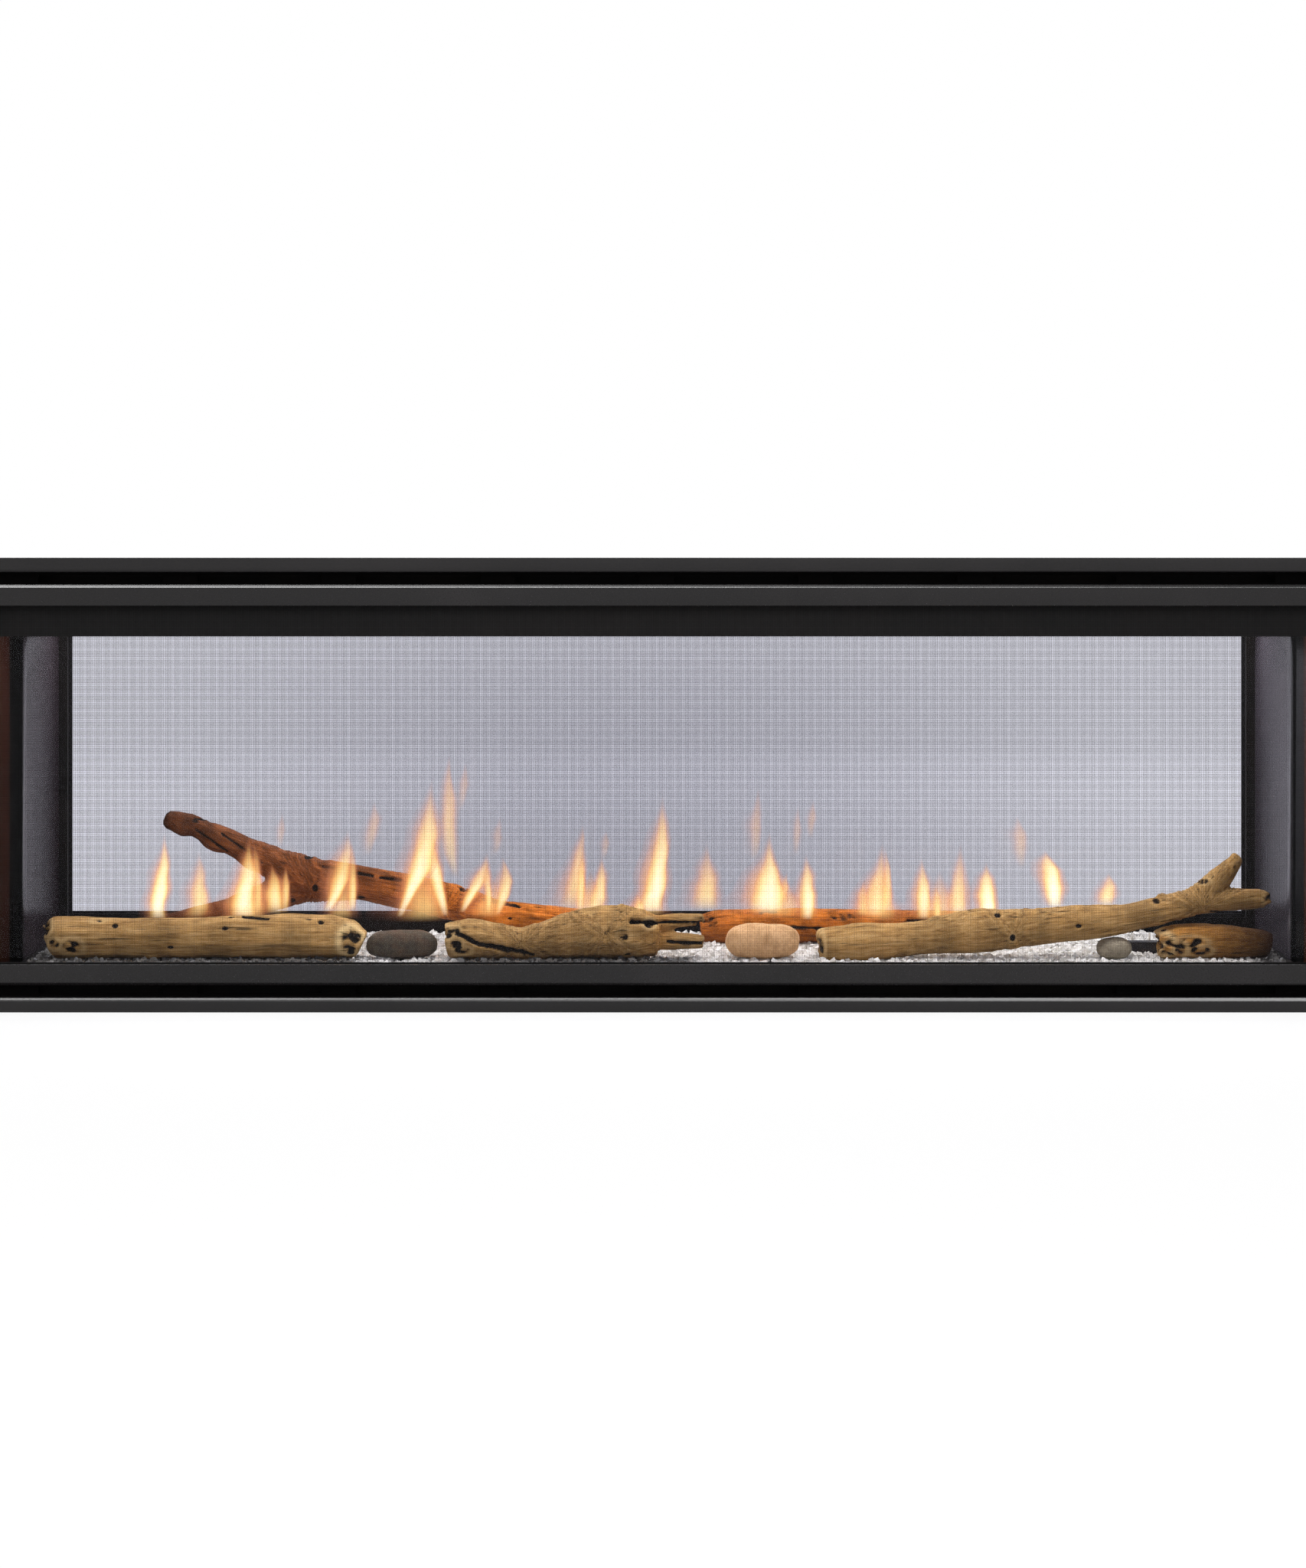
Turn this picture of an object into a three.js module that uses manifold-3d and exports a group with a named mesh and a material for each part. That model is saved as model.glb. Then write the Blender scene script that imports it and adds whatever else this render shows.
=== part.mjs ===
// Double-sided linear gas fireplace, in millimetres, +Z up.
// X runs along the fireplace and Y runs through it, with the front at -Y.
// The origin is the centre of the underside, where the fireplace stands.

import * as THREE from "three";
import { mergeVertices } from "three/addons/utils/BufferGeometryUtils.js";
import Module from "manifold-3d";

const wasm = await Module();
wasm.setup();

// View opening and depth
const viewWidth = 1219;
const viewHeight = 321;
const overallDepth = 460;

// Sheet stock and fits
const sheet = 1.5;
const seatGap = 0.3;
const mouthGap = 2;
const overrun = 4;
const weld = 0.0005;

// Outer trim: a folded frame with a bevel on its inner edge
const trimBar = 13;
const trimBevel = 3;
const trimProud = 18;
const reveal = 11;

// Barrier screen: a folded frame with a bevel on its outer edge, and a wire net behind its face
const screenBar = 19;
const screenBevel = 3;
const screenBackFlange = 9;
const netLap = 13;
const netThick = 1;
const netWire = 2.2;
const netColumns = 24;
const netRows = 6;
const tabLength = 20;
const tabReach = 10;
const tabInset = 5;
const tabSideGap = 1;
const tabHeightShares = [0.24, 0.8];

// Glass assembly: a sheet tray, a ceramic pane and a rope gasket
const glassSetback = 2.5;
const glassTrayDepth = 11.4;
const glassSideOver = 6;
const glassSideBar = 14;
const glassBottomBar = 15;
const glassTopBar = 30;
const glassSill = 0.7;
const headerDrop = 28;
const paneThick = 4;
const paneEdgeGap = 0.3;
const gasketWidth = 9;
const gasketEdgeGap = 0.6;

// Firebox shell
const seatLap = 2.5;
const seatFlange = 22.5;
const ledgeWidth = 1000;
const floorBead = 2.5;
const floorBeadWidth = 24;
const floorBeadShares = [-0.7, 0, 0.7];
const ceilingDrop = 6;
const topAirSpace = 34;
const seatHeadroom = 13.5;
const airPortLength = 40;
const airPortHeight = 7;
const airPortShares = [-0.78, -0.42, 0.42, 0.78];

// Side liners with a raised centre post
const linerThick = 2.7;
const postProud = 2;
const postWidth = 36;
const postBevel = 1;

// Casing box
const sideBay = 106;
const nailFlange = 18;
const topSetback = 2;
const ventLength = 112;
const ventHeight = 7;
const ventCount = 8;
const ventEdge = 1.5;
const nailSlotLength = 16;
const nailSlotWidth = 4.5;
const nailSlotCount = 4;
const nailSlotSpan = 300;
const ribProud = 2;
const ribWidth = 22;
const ribBevel = 4;
const ribInset = 60;
const stiffenerDrop = 11;
const stiffenerSetback = 25;

// Vent collars, centred on top
const flueBore = 127;
const intakeBore = 203;
const collarWall = 1;
const collarFlange = 10;
const collarSides = 36;
const baffleLength = 240;
const baffleWidth = 190;
const baffleDrop = 11.5;
const baffleFoot = 14;

// Burner and deck
const deckHeight = 14;
const burnerWidth = 110;
const burnerLeftMargin = 98;
const burnerRightMargin = 152;
const burnerWall = 1.2;
const burnerCutGap = 1;
const portCount = 46;
const portLength = 26;
const portWidth = 2.4;
const portMargin = 18;
const portWaveShare = 0.5;
const mediaDepth = 7.2;
const mediaMargin = 13;
const mediaSetback = 22.5;
const mediaSlope = 14;

// Mixer tube: flat under the deck, round at the air shutter
const mixerFlatWidth = 30;
const mixerFlatHeight = 9.2;
const mixerLift = 6.5;
const mixerWall = 1;
const mixerInsert = 8;
const mixerRound = 22;
const mixerRoundLift = 17;
const mixerSides = 20;
const hexSides = 6;
const mixerFlatEnd = 6;
const mixerRoundStart = 26;
const mixerRoundEnd = 50;
const mixerHoleGap = 0.5;
const shutterStart = 30;
const shutterLength = 14;
const shutterWall = 1.2;
const shutterWindow = 8;
const shutterWindowWidth = 9;
const shutterLever = 9;
const shutterLeverWidth = 5;

// Orifice holder and gas tubes
const orificePlate = 24;
const orificePlateThick = 2.5;
const orificeHex = 16;
const orificeHexLength = 15;
const orificeSpud = 8;
const orificeSpudLength = 9;
const orificeFootWidth = 16;
const burnerTubeDiameter = 8;
const burnerTubeBend = 12;
const supplyTubeDiameter = 10;
const supplyTubeBend = 14;
const pilotTubeDiameter = 6;
const pilotTubeBend = 6;
const pilotTubeClear = 18;
const tubeSides = 8;
const tubeBendSteps = 4;

// Gas valve with a flame height knob
const valveLength = 90;
const valveWidth = 50;
const valveHeight = 60;
const valveNear = 32;
const valveY = 50;
const valveZ = 45;
const valveStep = 12;
const valveFootWidth = 30;
const knobDiameter = 24;
const knobHeight = 14;
const knobStem = 6;
const knobStemHeight = 7;
const knobBevel = 1.5;
const knobRib = 4;
const knobRibHeight = 2.5;

// Shutoff valve with a quarter-turn lever
const supplyEndGap = 60.5;
const supplyZ = 60;
const inletPipe = 21;
const inletBore = 15;
const inletReach = 10;
const inletHoleGap = 1.5;
const bulkheadDiameter = 34;
const bulkheadThick = 2;
const shutoffBody = 30;
const shutoffHex = 24;
const shutoffLength = 44;
const shutoffStem = 10;
const shutoffStemHeight = 8;
const leverPin = 6;
const leverPinHeight = 5;
const leverLength = 52;
const leverWidth = 13;
const leverThick = 3;

// Pilot assembly at the right end of the burner
const pilotGap = 8;
const pilotLength = 30;
const pilotBaseDepth = 44;
const pilotHoodDepth = 16;
const pilotHoodHeight = 12.5;
const pilotHoodLift = 5.4;
const pilotHoodWall = 2;
const pilotWindow = 6;
const pilotNotchGap = 4;
const rodDiameter = 5;
const rodHeight = 15;
const rodTip = 2;
const rodTipHeight = 8;
const rodSpacing = 17;
const rodSides = 12;

// Control module with a rocker switch, and the junction box
const moduleWidth = 60;
const moduleDepth = 38;
const moduleHeight = 90;
const moduleNear = 28;
const moduleZ = 108;
const rockerLength = 20;
const rockerHeight = 12;
const rockerThick = 3;
const rockerCrown = 1.5;
const rockerTiltDegrees = 8;
const rockerGap = 1;
const rockerRecess = 4;
const fulcrumWidth = 1.6;
const boxDepth = 40;
const boxLength = 100;
const boxHeight = 100;
const boxEndGap = 50.5;
const boxZ = 45;
const knockout = 22;

// Access cover on the right side
const hatchLength = 260;
const hatchHeight = 180;
const hatchY = 15;
const hatchZ = 32;
const hatchLap = 14;
const hatchPress = 3;
const hatchPressInset = 24;

// Driftwood logs and stones: girths, rows and rises; the tables of shares shape them
const nearRow = 57;
const diagonalRow = 45;
const backRow = 70;
const leftGirth = 22;
const middleGirth = 26.4;
const forkedGirth = 15.4;
const forkedRise = 90;
const stubGirth = 18;
const backGirth = 18.7;
const diagonalGirth = 23.5;
const diagonalRise = 130;
const middleRise = 32;
const logSides = 10;
const logDentShare = 0.1;
const roundStoneWidth = 72;
const roundStoneHeight = 34.5;
const roundStoneDepth = 50;
const darkPebbleWidth = 70;
const darkPebbleHeight = 28;
const darkPebbleDepth = 42;
const smallPebbleWidth = 35;
const smallPebbleHeight = 21;
const smallPebbleDepth = 28;
const stoneSides = 16;
const stoneRings = 10;

// Levels worked out from the sizes above
const viewHalf = viewWidth / 2;
const viewLow = trimBar + reveal + screenBar;
const viewHigh = viewLow + viewHeight;
const screenHalf = viewHalf + screenBar;
const screenLow = viewLow - screenBar;
const screenHigh = viewHigh + screenBar;
const trimHalf = screenHalf + reveal + trimBar;
const trimHigh = screenHigh + reveal + trimBar;
const faceY = overallDepth / 2;
const plateFace = faceY - trimProud;
const plateBack = plateFace - sheet;
const glassFace = plateBack - glassSetback;
const glassHalf = viewHalf + glassSideOver;
const openingHalf = glassHalf - glassSideBar;
const openingLow = viewLow - glassSill;
const openingHigh = viewHigh - headerDrop;
const glassLow = openingLow - glassBottomBar;
const glassHigh = openingHigh + glassTopBar;
const seatFace = glassFace - glassTrayDepth - seatGap - seatGap;
const seatBack = seatFace - sheet;
const mouthHalf = glassHalf + mouthGap;
const mouthLow = glassLow - mouthGap;
const mouthHigh = glassHigh + mouthGap;
const fireboxHalf = mouthHalf;
const wallInner = fireboxHalf - sheet;
const floorLow = sheet + floorBead;
const floorHigh = floorLow + sheet;
const ceilingLow = viewHigh - ceilingDrop;
const ceilingHigh = ceilingLow + sheet;
const casingRoof = ceilingHigh + topAirSpace;
const casingTop = casingRoof + sheet;
const casingInner = fireboxHalf + sideBay;
const casingHalf = casingInner + sheet;
const plateHalf = casingHalf + nailFlange;
const plateHigh = trimHigh - topSetback;
const collarHigh = plateHigh;
const boxY = plateBack - boxEndGap - boxLength;
const supplyY = plateBack - supplyEndGap;
const seatLow = floorLow;
const seatHigh = casingRoof - seatHeadroom;
const seatHalf = fireboxHalf + seatFlange;
const linerBack = wallInner - seatGap;
const linerFace = linerBack - linerThick;
const deckHigh = floorHigh + deckHeight;
const deckLow = deckHigh - sheet;
const deckY = seatBack - seatGap;
const bedLow = deckHigh + seatGap;
const bedHigh = bedLow + mediaDepth;
const bedHalf = linerFace - postProud - mediaMargin;
const bedY = seatBack - mediaSetback;
const restZ = bedHigh + seatGap;
const burnerLeft = -bedHalf + burnerLeftMargin;
const burnerRight = bedHalf - burnerRightMargin;
const burnerLow = floorHigh + seatGap;
const pilotLeft = burnerRight + pilotGap;
const pilotRight = pilotLeft + pilotLength;
const pilotMiddle = (pilotLeft + pilotRight) / 2;

// Finishes
function finish(colour, roughness, metalness) {
  return new THREE.MeshStandardMaterial({ color: colour, roughness, metalness });
}

const blackPaint = finish(0x2f2d2e, 0.55, 0.1);
const screenPaint = finish(0x353334, 0.5, 0.1);
const wireFinish = finish(0x1c1c1d, 0.5, 0.6);
const galvanised = finish(0x9a9d9f, 0.45, 0.9);
const heatSteel = finish(0x1f1e1f, 0.7, 0.4);
const linerEnamel = finish(0x3a3436, 0.2, 0.3);
const stainless = finish(0x8f8c88, 0.35, 1);
const brassFinish = finish(0xb08d4c, 0.35, 1);
const castAluminium = finish(0xa9abad, 0.5, 0.9);
const blackPlastic = finish(0x1b1b1c, 0.5, 0);
const redPlastic = finish(0x9c2420, 0.45, 0);
const ceramicWhite = finish(0xe6e2d8, 0.5, 0);
const paneGlass = finish(0xcfd6d6, 0.05, 0);
const ropeFibre = finish(0x2b2b2c, 0.95, 0);
const crushedGlass = finish(0xd9d8d0, 0.25, 0);
const tanWood = finish(0xa08560, 0.85, 0);
const burntWood = finish(0x83502f, 0.85, 0);
const tanStone = finish(0xab9474, 0.8, 0);
const darkStone = finish(0x5a5048, 0.8, 0);

// A geometry with merged corners whose faces point out
function facingOut(geometry) {
  const bare = new THREE.BufferGeometry();
  bare.setAttribute("position", geometry.getAttribute("position").clone());
  if (geometry.getIndex()) {
    bare.setIndex(geometry.getIndex().clone());
  }
  const merged = mergeVertices(bare, weld);
  const place = merged.getAttribute("position");
  const index = merged.getIndex();
  const corner = [new THREE.Vector3(), new THREE.Vector3(), new THREE.Vector3()];
  let volume = 0;
  for (let i = 0; i < index.count; i += 3) {
    corner.forEach((point, k) => point.fromBufferAttribute(place, index.getX(i + k)));
    volume += corner[0].dot(corner[1].cross(corner[2]));
  }
  if (volume < 0) {
    for (let i = 0; i < index.count; i += 3) {
      const second = index.getX(i + 1);
      index.setX(i + 1, index.getX(i + 2));
      index.setX(i + 2, second);
    }
  }
  return merged;
}

// Joins and cuts of closed geometries
function solid(geometry) {
  const bare = facingOut(geometry);
  const vertProperties = new Float32Array(bare.getAttribute("position").array);
  const triVerts = new Uint32Array(bare.getIndex().array);
  return new wasm.Manifold(new wasm.Mesh({ numProp: 3, vertProperties, triVerts }));
}

function geometryOf(body) {
  const mesh = body.getMesh();
  const geometry = new THREE.BufferGeometry();
  geometry.setAttribute("position", new THREE.BufferAttribute(mesh.vertProperties, 3));
  geometry.setIndex(new THREE.BufferAttribute(mesh.triVerts, 1));
  return geometry;
}

function joined(first, ...others) {
  return geometryOf(others.reduce((body, other) => body.add(solid(other)), solid(first)));
}

function cut(first, ...tools) {
  return geometryOf(tools.reduce((body, tool) => body.subtract(solid(tool)), solid(first)));
}

// Closed outlines as lists of points
function rectangle(left, right, low, high) {
  return [[left, low], [right, low], [right, high], [left, high]];
}

function circle(x, y, radius, sides) {
  const points = [];
  for (let k = 0; k < sides; k += 1) {
    const angle = (2 * Math.PI * (k + 1 / 2)) / sides;
    points.push([x + radius * Math.cos(angle), y + radius * Math.sin(angle)]);
  }
  return points;
}

function shapeOf(points) {
  return new THREE.Shape(points.map(([x, y]) => new THREE.Vector2(x, y)));
}

// Flat pieces in the XY, XZ or YZ plane, from one level to another along the third axis
const planeBases = {
  xy: [[1, 0, 0], [0, 1, 0], [0, 0, 1]],
  xz: [[1, 0, 0], [0, 0, 1], [0, -1, 0]],
  yz: [[0, 1, 0], [0, 0, 1], [1, 0, 0]],
};

function slabs(plane, outlines, from, to) {
  const depth = to - from;
  const geometry = new THREE.ExtrudeGeometry(outlines.map(shapeOf), { depth, bevelEnabled: false });
  const [across, up, out] = planeBases[plane].map((axis) => new THREE.Vector3(...axis));
  geometry.applyMatrix4(new THREE.Matrix4().makeBasis(across, up, out));
  const start = out.x + out.y + out.z > 0 ? from : -to;
  return geometry.translate(out.x * start, out.y * start, out.z * start);
}

function panel(plane, points, holes, from, to) {
  const plate = slabs(plane, [points], from, to);
  return holes.length > 0 ? cut(plate, slabs(plane, holes, from - overrun, to + overrun)) : plate;
}

function block(x, y, z) {
  return panel("xy", rectangle(x[0], x[1], y[0], y[1]), [], z[0], z[1]);
}

// A mitred frame: a profile of [inset from the outer edge, depth behind the face] points
function mitredFrame(half, low, high, face, profile) {
  const corners = [[-1, -1], [1, -1], [1, 1], [-1, 1]];
  const places = [];
  for (const [side, end] of corners) {
    for (const [inset, depth] of profile) {
      const z = end < 0 ? low + inset : high - inset;
      places.push(side * (half - inset), -face + depth, z);
    }
  }
  const count = profile.length;
  const index = [];
  for (let c = 0; c < corners.length; c += 1) {
    const next = (c + 1) % corners.length;
    for (let i = 0; i < count; i += 1) {
      const j = (i + 1) % count;
      index.push(c * count + i, next * count + i, next * count + j);
      index.push(c * count + i, next * count + j, c * count + j);
    }
  }
  const geometry = new THREE.BufferGeometry();
  geometry.setAttribute("position", new THREE.Float32BufferAttribute(places, 3));
  geometry.setIndex(index);
  return facingOut(geometry);
}

// A skin through rings of points, closed by a fan at both ends
function loft(rings) {
  const count = rings[0].length;
  const places = rings.flat().flatMap((point) => [point.x, point.y, point.z]);
  const index = [];
  for (let r = 0; r + 1 < rings.length; r += 1) {
    for (let i = 0; i < count; i += 1) {
      const j = (i + 1) % count;
      const here = r * count;
      const there = here + count;
      index.push(here + i, there + i, there + j);
      index.push(here + i, there + j, here + j);
    }
  }
  for (const [r, turned] of [[0, false], [rings.length - 1, true]]) {
    const middle = new THREE.Vector3();
    rings[r].forEach((point) => middle.add(point));
    middle.divideScalar(count);
    const hub = places.length / 3;
    places.push(middle.x, middle.y, middle.z);
    for (let i = 0; i < count; i += 1) {
      const a = r * count + i;
      const b = r * count + ((i + 1) % count);
      index.push(hub, turned ? b : a, turned ? a : b);
    }
  }
  const geometry = new THREE.BufferGeometry();
  geometry.setAttribute("position", new THREE.Float32BufferAttribute(places, 3));
  geometry.setIndex(index);
  return facingOut(geometry);
}

// A turned piece about a line: profile points are [radius, distance along the axis]
function turned(profile, sides, axis) {
  const points = profile.map(([radius, along]) => new THREE.Vector2(radius, along));
  const geometry = new THREE.LatheGeometry(points, sides);
  if (axis === "x") {
    geometry.rotateZ(-Math.PI / 2);
  } else {
    geometry.rotateX(Math.PI / 2);
  }
  return facingOut(geometry);
}

function rod(radius, from, to, sides, axis) {
  return turned([[0, from], [radius, from], [radius, to], [0, to]], sides, axis);
}

// A tube closed at both ends: straight runs between corner points, joined by bends
function bentTube(points, diameter, bend) {
  const stops = points.map((point) => new THREE.Vector3(...point));
  const last = stops.length - 1;
  const route = [[stops[0], stops[1].clone().sub(stops[0]).normalize()]];
  for (let k = 1; k < last; k += 1) {
    const back = stops[k - 1].clone().sub(stops[k]).normalize();
    const ahead = stops[k + 1].clone().sub(stops[k]).normalize();
    const reach = bend / Math.tan(back.angleTo(ahead) / 2);
    const curve = new THREE.QuadraticBezierCurve3(
      stops[k].clone().addScaledVector(back, reach),
      stops[k],
      stops[k].clone().addScaledVector(ahead, reach),
    );
    for (let i = 0; i <= tubeBendSteps; i += 1) {
      route.push([curve.getPoint(i / tubeBendSteps), curve.getTangent(i / tubeBendSteps)]);
    }
  }
  route.push([stops[last], stops[last].clone().sub(stops[last - 1]).normalize()]);
  const aside = new THREE.Vector3(0, 0, 1).cross(route[0][1]);
  if (aside.length() < 1 / 2) {
    aside.set(1, 0, 0);
  }
  aside.normalize();
  let heading = route[0][1];
  const rings = route.map(([centre, along]) => {
    aside.applyQuaternion(new THREE.Quaternion().setFromUnitVectors(heading, along));
    heading = along;
    const up = along.clone().cross(aside);
    return circle(0, 0, diameter / 2, tubeSides).map(([a, b]) => (
      centre.clone().addScaledVector(aside, a).addScaledVector(up, b)
    ));
  });
  return loft(rings);
}

const fireplace = new THREE.Group();

function add(group, name, geometry, material) {
  const mesh = new THREE.Mesh(facingOut(geometry), material.clone());
  mesh.name = name;
  group.add(mesh);
  return mesh;
}

// Casing
function casingPlate() {
  const holes = [rectangle(-mouthHalf, mouthHalf, mouthLow, mouthHigh)];
  const pitch = (2 * (screenHalf - ventLength / 2)) / ventCount;
  const ventRows = [
    [trimHigh - trimBar - reveal + ventEdge, trimHigh - trimBar - reveal + ventEdge + ventHeight],
    [trimBar + ventEdge, trimBar + ventEdge + ventHeight],
  ];
  for (const [low, high] of ventRows) {
    for (let k = 0; k < ventCount; k += 1) {
      const x = (k - (ventCount - 1) / 2) * pitch;
      holes.push(rectangle(x - ventLength / 2, x + ventLength / 2, low, high));
    }
  }
  for (const side of [-1, 1]) {
    for (const share of tabHeightShares) {
      const low = viewLow + share * viewHeight - seatGap;
      const near = side * tabX() - sheet / 2 - tabSideGap;
      const far = side * tabX() + sheet / 2 + tabSideGap;
      holes.push(rectangle(near, far, low, low + tabLength + seatGap + tabSideGap));
    }
    const nailX = side * (casingHalf + nailFlange / 2);
    for (let k = 0; k < nailSlotCount; k += 1) {
      const z = plateHigh / 2 + (k / (nailSlotCount - 1) - 1 / 2) * nailSlotSpan;
      const left = nailX - nailSlotWidth / 2;
      holes.push(rectangle(left, left + nailSlotWidth, z - nailSlotLength / 2, z + nailSlotLength / 2));
    }
  }
  return panel("xz", rectangle(-plateHalf, plateHalf, 0, plateHigh), holes, -plateFace, -plateBack);
}

function tabX() {
  return screenHalf - tabInset;
}

// A pressed rib: a bevelled bar standing on a plate, as a loft along its length
function ribAlongY(x, length, top) {
  const half = ribWidth / 2;
  return loft([-1, 1].map((end) => [
    new THREE.Vector3(x - half, (end * length) / 2, top - sheet / 2),
    new THREE.Vector3(x + half, (end * length) / 2, top - sheet / 2),
    new THREE.Vector3(x + half - ribBevel, (end * length) / 2, top + ribProud),
    new THREE.Vector3(x - half + ribBevel, (end * length) / 2, top + ribProud),
  ]));
}

function casingRoofPlate() {
  const hole = circle(0, 0, intakeBore / 2, collarSides);
  const outline = rectangle(-casingHalf, casingHalf, -plateBack, plateBack);
  const plate = panel("xy", outline, [hole], casingRoof, casingTop);
  const reach = casingHalf - ribInset;
  const ribs = [-reach, -reach / 2, reach / 2, reach].map((x) => (
    ribAlongY(x, 2 * (plateBack - ribInset / 2), casingTop)
  ));
  // Stiffeners welded under the roof, which also hide the inside from the slots
  const stiffeners = [-1, 1].map((side) => block(
    [-mouthHalf, mouthHalf],
    [side * (plateBack - stiffenerSetback) - sheet / 2, side * (plateBack - stiffenerSetback) + sheet / 2],
    [casingRoof - stiffenerDrop, casingRoof + sheet / 2],
  ));
  return joined(plate, ...ribs, ...stiffeners);
}

function sidePlate(holes) {
  return panel("yz", rectangle(-plateBack, plateBack, sheet, casingRoof), holes, casingInner, casingHalf);
}

const casing = new THREE.Group();
fireplace.add(casing);
const supplyHole = circle(-supplyY, supplyZ, inletPipe / 2 + inletHoleGap, collarSides / 2);
const hatchHole = rectangle(hatchY - hatchLength / 2, hatchY + hatchLength / 2, hatchZ, hatchZ + hatchHeight);
const cableHole = circle(boxY + boxLength / 2, boxZ + boxHeight / 2, knockout / 2, collarSides / 2);
const basePoints = rectangle(-casingHalf, casingHalf, -plateBack, plateBack);
add(casing, "casing_bottom", panel("xy", basePoints, [], 0, sheet), galvanised);
add(casing, "casing_top", casingRoofPlate(), galvanised);
add(casing, "casing_right", sidePlate([supplyHole, hatchHole]), galvanised);
add(casing, "casing_left", sidePlate([cableHole]), galvanised).rotation.z = Math.PI;

// Vent collars: a flanged ring each
function collar(bore, low, high) {
  const radius = bore / 2;
  return turned([
    [radius, low],
    [radius + collarWall + collarFlange, low],
    [radius + collarWall + collarFlange, low + sheet],
    [radius + collarWall, low + sheet],
    [radius + collarWall, high],
    [radius, high],
    [radius, low],
  ], collarSides, "z");
}

add(casing, "outer_collar", collar(intakeBore, casingTop, collarHigh), galvanised);
add(casing, "inner_collar", collar(flueBore, ceilingHigh, collarHigh), stainless);

// Firebox shell
const firebox = new THREE.Group();
fireplace.add(firebox);

function fireboxFloor() {
  const plate = block([-fireboxHalf, fireboxHalf], [-seatBack, seatBack], [floorLow, floorHigh]);
  const beads = floorBeadShares.map((share) => {
    const x = share * fireboxHalf;
    return block([x - floorBeadWidth / 2, x + floorBeadWidth / 2], [-seatBack, seatBack], [sheet, floorHigh]);
  });
  return joined(plate, ...beads);
}

function flatOval(radiusY, radiusZ, middleY, middleZ, sides) {
  return circle(0, 0, 1, sides).map(([a, b]) => [middleY + radiusY * a, middleZ + radiusZ * b]);
}

const mixerZ = floorHigh + mixerLift;
const mixerHole = flatOval(
  mixerFlatWidth / 2 + mixerHoleGap,
  mixerFlatHeight / 2 + mixerHoleGap,
  0,
  mixerZ,
  mixerSides,
);
const pilotLineY = mixerFlatWidth / 2 + pilotTubeDiameter + pilotTubeDiameter / 2;
const pilotHole = circle(pilotLineY, mixerZ, pilotTubeDiameter / 2 + mixerHoleGap, tubeSides);

function fireboxWall(holes) {
  const ports = airPortShares.map((share) => {
    const y = share * seatBack;
    const low = (floorHigh + deckLow - airPortHeight) / 2;
    return rectangle(y - airPortLength / 2, y + airPortLength / 2, low, low + airPortHeight);
  });
  const outline = rectangle(-seatBack, seatBack, floorHigh, ceilingLow);
  return panel("yz", outline, [...ports, ...holes], wallInner, fireboxHalf);
}

function fireboxCeiling() {
  const hole = circle(0, 0, flueBore / 2, collarSides);
  const outline = rectangle(-fireboxHalf, fireboxHalf, -seatBack, seatBack);
  return panel("xy", outline, [hole], ceilingLow, ceilingHigh);
}

add(firebox, "firebox_floor", fireboxFloor(), heatSteel);
add(firebox, "firebox_right_wall", fireboxWall([mixerHole, pilotHole]), heatSteel);
add(firebox, "firebox_left_wall", fireboxWall([]), heatSteel).rotation.z = Math.PI;
add(firebox, "firebox_ceiling", fireboxCeiling(), heatSteel);

// A baffle hung under the flue: a folded channel with turned-out feet
const baffleLow = ceilingLow - baffleDrop;
const baffleHalf = baffleLength / 2;
add(firebox, "flue_baffle", panel("xz", [
  [-baffleHalf, baffleLow],
  [baffleHalf, baffleLow],
  [baffleHalf, ceilingLow - sheet],
  [baffleHalf + baffleFoot, ceilingLow - sheet],
  [baffleHalf + baffleFoot, ceilingLow],
  [baffleHalf - sheet, ceilingLow],
  [baffleHalf - sheet, baffleLow + sheet],
  [-baffleHalf + sheet, baffleLow + sheet],
  [-baffleHalf + sheet, ceilingLow],
  [-baffleHalf - baffleFoot, ceilingLow],
  [-baffleHalf - baffleFoot, ceilingLow - sheet],
  [-baffleHalf, ceilingLow - sheet],
], [], -baffleWidth / 2, baffleWidth / 2), heatSteel);

// Side liners, each one panel with a raised post at its centre
function liner() {
  const half = postWidth / 2;
  return panel("xy", [
    [linerBack, -deckY],
    [linerBack, deckY],
    [linerFace, deckY],
    [linerFace, half],
    [linerFace - postProud, half - postBevel],
    [linerFace - postProud, -half + postBevel],
    [linerFace, -half],
    [linerFace, -deckY],
  ], [], deckHigh, ceilingLow - seatGap);
}

add(firebox, "right_liner", liner(), linerEnamel);
add(firebox, "left_liner", liner(), linerEnamel).rotation.z = Math.PI;

// Media deck: a folded tray with cut-outs for the burner and the pilot line
function mediaDeck() {
  const profile = [
    [-deckY, floorHigh],
    [-deckY + sheet, floorHigh],
    [-deckY + sheet, deckLow],
    [deckY - sheet, deckLow],
    [deckY - sheet, floorHigh],
    [deckY, floorHigh],
    [deckY, deckHigh],
    [-deckY, deckHigh],
  ];
  const tray = panel("yz", profile, [], -linerBack, linerBack);
  const halfCut = burnerWidth / 2 + burnerCutGap;
  const throughDeck = [deckLow - sheet, deckHigh + overrun];
  const alongCut = [burnerLeft - burnerCutGap, burnerRight + burnerCutGap];
  const burnerCut = block(alongCut, [-halfCut, halfCut], throughDeck);
  const lineCut = panel("xy", pilotRiserOutline(pilotTubeDiameter / 2 + mixerHoleGap), [], ...throughDeck);
  return cut(tray, burnerCut, lineCut);
}

function pilotRiserOutline(radius) {
  return circle(pilotMiddle, pilotLineY, radius, tubeSides);
}

add(firebox, "media_deck", mediaDeck(), heatSteel);

// Burner: an open trough and a ported top
const burner = new THREE.Group();
fireplace.add(burner);

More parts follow.
